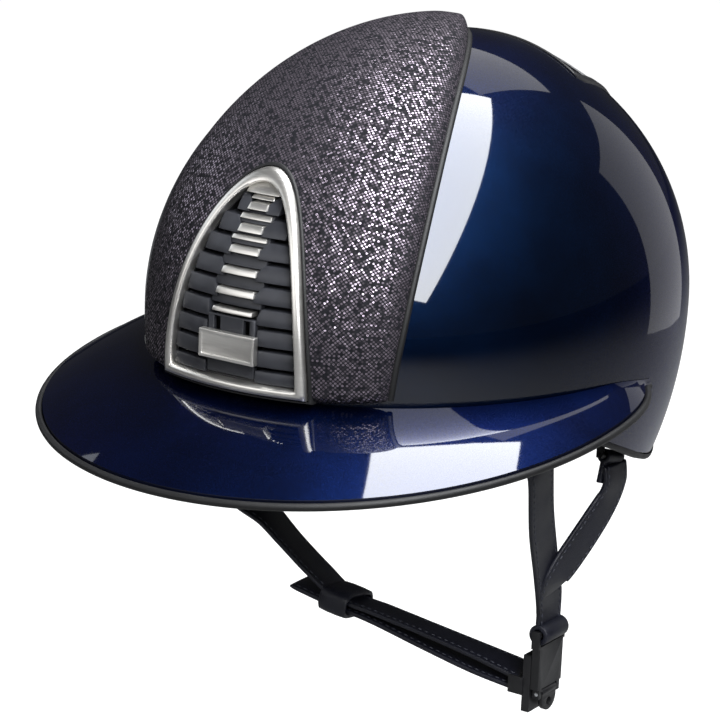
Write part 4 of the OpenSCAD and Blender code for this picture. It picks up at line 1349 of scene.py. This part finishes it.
CHIN = Ribbon([(67.4, -11, -143), (46, -13, -138.5), (20, -14, -134.5), (-6, -14, -131.4), (-26, -14, -129),
               (-42, -14, -120), (-57, -15, -109), (-68, -17, -99), (-77, -21, -91), (-81.6, -24.4, -85)],
              [(0, 1, lean) for lean in (0, -0.1, -0.15, -0.15, -0.15, -0.1, -0.1, 0, 0.3, 0.5)])
TAIL = Ribbon([(67.0, -11, -147.9), (46, -13, -145.5), (20, -14, -140.7), (-6, -14, -135.6), (-26, -14, -133),
               (-50, -16.6, -127)], [*CHIN.across[:5], (0, 1, -0.1)])

KEEPER_PLACE = (-26.0, -14.0, -131.0)
KEEPER_RUN = (46.0, 0.0, -5.5)


@dataclass
class Harness:
    """Straps, eyes, keeper and the face-to-face buckle."""

    keeper_lean: float = -8.5

    def build(self) -> None:
        """Makes both sides of the harness and the buckle."""
        for name, ribbon, body, node in (("left_front_limb", FRONT_LIMB, Body.LEFT, "left_front_strap"),
                                         ("left_rear_limb", REAR_LIMB, Body.LEFT, "left_rear_strap"),
                                         ("right_front_limb", RIGHT_FRONT, Body.RIGHT, "right_front_strap"),
                                         ("right_rear_limb", RIGHT_REAR, Body.RIGHT, "right_rear_strap"),
                                         ("chin_band", CHIN, Body.RIGHT, "chin_strap"),
                                         ("chin_band_tail", TAIL, Body.RIGHT, "chin_strap_tail")):
            self.strap(name, ribbon, body, node)
        for node, body in (("left_strap_eyes", Body.LEFT), ("right_strap_eyes", Body.RIGHT),
                           ("left_strap_loop", Body.LEFT)):
            settle(refined(node, node + "_leather", STRAP.material(), 0.5, 2), body, Slot.LEATHER, node)
        self.keeper()
        for node, body, slot, finish, bevel in (
                ("buckle_outer", Body.LEFT, Slot.BUCKLE, BLACK_PLASTIC, 0.6),
                ("buckle_inner", Body.RIGHT, Slot.BUCKLE, BLACK_PLASTIC, 0.5),
                ("release_tab", Body.TAB, Slot.BUCKLE, BLACK_PLASTIC, 0.5),
                ("strap_anchors", Body.HELMET, Slot.BUCKLE, BLACK_PLASTIC, 0.3),
                ("buckle_magnet", Body.LEFT, Slot.STEEL, STEEL, 0.2),
                ("buckle_catch", Body.RIGHT, Slot.STEEL, STEEL, 0.1),
                ("release_pin", Body.LEFT, Slot.STEEL, STEEL, 0.1),
                ("anchor_screws", Body.HELMET, Slot.STEEL, STEEL, 0.2)):
            settle(refined(node, node + "_finished", finish.material(), bevel), body, slot, node)

    def keeper(self) -> None:
        """A snug leather band round both layers of the chin strap."""
        turn = np.linspace(0, 360, 48, endpoint=False)
        c, s = cosd(turn), sind(turn)
        oval = np.stack([np.sign(c) * np.abs(c) ** 0.45, np.sign(s) * np.abs(s) ** 0.6], -1)
        near = [(7.2, 10.5, 4.3), (7.4, 11.3, 5.1), (6.6, 12.1, 5.9), (2.5, 12.3, 6.15)]
        profile = [(-x, y, z) for x, y, z in near] + near[::-1]
        rings = np.array([[(x, y * o[0], z * o[1]) for o in oval] for x, y, z in profile])
        along = unit(np.array(KEEPER_RUN))
        slope = Matrix.Rotation(-math.atan2(along[2], along[0]), 3, "Y")
        turned = slope @ Matrix.Rotation(math.radians(self.keeper_lean), 3, "X")
        rings = rings @ np.array(turned).T + np.array(KEEPER_PLACE)
        band = mesh_piece("keeper_band", *grid(rings, closed_loop=True), STRAP.material(), smooth_angle=50)
        settle(band, Body.KEEPER, Slot.LEATHER, "strap_keeper")

    def strap(self, name: str, ribbon: Ribbon, body: Body, node: str) -> None:
        """One strap and the stitches along it."""
        piece = joined(name, [ribbon.build(name), sewn(name + "_stitches", ribbon.seams())])
        settle(piece, body, Slot.LEATHER, node)


@dataclass(frozen=True)
class Lamp:
    """A rectangular light: where it stands, which way its long side runs, its size and its brightness."""

    name: str
    towards: Triple
    along: Triple
    distance: float
    long: float
    wide: float
    glow: float
    colour: Triple = (1.0, 1.0, 1.0)


LAMPS = (
    Lamp("long window", (0.459, -0.182, 0.870), (-0.466, 0.693, 0.390), 1.3, 2.7, 0.72, 17.0,
         (0.96, 0.98, 1.0)),
    Lamp("rear box", (-0.20, 0.64, 0.74), (1.0, 0.0, 0.0), 1.5, 0.8, 0.6, 1.2),
    Lamp("back paper", (0.29, 0.95, 0.06), (0.0, 0.0, 1.0), 1.7, 1.6, 0.9, 0.55),
    Lamp("front fill", (-0.25, -0.90, 0.35), (1.0, 0.0, 0.0), 1.6, 1.3, 0.9, 1.9),
    Lamp("left fill", (-0.85, -0.20, 0.45), (0.0, 1.0, 0.0), 1.5, 1.0, 0.7, 1.6, (0.9, 0.95, 1.0)),
)


@dataclass
class Studio:
    """Camera, pale floor and soft lights."""

    azimuth: float = 32.0
    elevation: float = 14.6
    distance: float = 1.264
    roll: float = 2.7
    aside: float = 0.02808
    below: float = 0.0158
    lens: float = 143.6
    floor: float = -0.42

    def camera(self) -> None:
        """The camera at its viewing angle."""
        a, e, r = math.radians(self.azimuth), math.radians(self.elevation), math.radians(self.roll)
        right = Vector((math.cos(a), math.sin(a), 0))
        back = Vector((math.sin(a) * math.cos(e), -math.cos(a) * math.cos(e), math.sin(e)))
        up = back.cross(right)
        right, up = (math.cos(r) * right + math.sin(r) * up), (math.cos(r) * up - math.sin(r) * right)
        place = back * self.distance
        forward = (-right * self.aside - up * self.below - place).normalized()
        right = (right - forward * right.dot(forward)).normalized()
        camera = placed("camera", bpy.data.cameras.new("camera"))
        camera.data.lens, camera.data.sensor_width = self.lens, 36.0
        up = right.cross(forward)
        turn = Matrix((right, up, -forward)).transposed()
        camera.matrix_world = Matrix.Translation(place) @ turn.to_4x4()
        bpy.context.scene.camera = camera

    def build_floor(self) -> None:
        """A plain pale floor under the object."""
        bpy.ops.mesh.primitive_plane_add(size=30, location=(0, 0, self.floor))
        floor = bpy.context.object
        floor.name = "floor"
        material = bpy.data.materials.new("pale floor")
        material.use_nodes = True
        g = Graph(material.node_tree)
        seen = g.add("ShaderNodeLightPath").outputs["Is Camera Ray"]
        behind = g.add("ShaderNodeNewGeometry").outputs["Backfacing"]
        g.fill(material.node_tree.nodes["Principled BSDF"], {
            "Base Color": rgb(0.22, 0.22, 0.22), "Roughness": 0.9, "Emission Color": rgb(1.0, 1.0, 1.0),
            "Emission Strength": g.math("MULTIPLY", seen, 0.97), "Alpha": g.math("SUBTRACT", 1.0, behind)})
        floor.data.materials.append(material)

    def world(self, seen: float = 1.0, mirrored: float = 0.035) -> None:
        """A white surround for the eye, and a dim one for reflections."""
        world = bpy.data.worlds.new("studio")
        world.use_nodes = True
        bpy.context.scene.world = world
        g = Graph(world.node_tree)
        camera_ray = g.add("ShaderNodeLightPath").outputs["Is Camera Ray"]
        strength = g.math("MULTIPLY_ADD", camera_ray, seen - mirrored, mirrored)
        g.fill(world.node_tree.nodes["Background"], {"Color": rgb(1.0, 1.0, 1.0), "Strength": strength})

    def light(self, lamp: Lamp) -> None:
        """An area light that faces the object."""
        data = bpy.data.lights.new(lamp.name, "AREA")
        data.shape, data.size, data.size_y = "RECTANGLE", lamp.long, lamp.wide
        data.energy = lamp.glow * math.pi * lamp.long * lamp.wide
        data.color = lamp.colour
        back = Vector(lamp.towards).normalized()
        long = Vector(lamp.along)
        long = (long - back * long.dot(back)).normalized()
        turn = Matrix((long, back.cross(long), back)).transposed()
        lit = placed(lamp.name, data)
        lit.matrix_world = Matrix.Translation(back * lamp.distance) @ turn.to_4x4()
        lit.visible_camera = False

    def build(self) -> None:
        """Floor, surround and lights."""
        self.build_floor()
        self.world()
        for lamp in LAMPS:
            self.light(lamp)
        bpy.context.scene.view_settings.view_transform = "Standard"


def main() -> None:
    """Builds the helmet sub-assembly by sub-assembly, then the studio, and reports each."""
    logging.basicConfig(level=logging.INFO, format="%(name)s: %(message)s")
    studio = Studio()
    studio.camera()
    for part in (Shell(), Peak(), FrontPanel(), Grille(), RearVent(), Liner(), Harness()):
        LOG.info("building %s", type(part).__name__)
        part.build()
    studio.build()


if __name__ == "__main__":
    main()
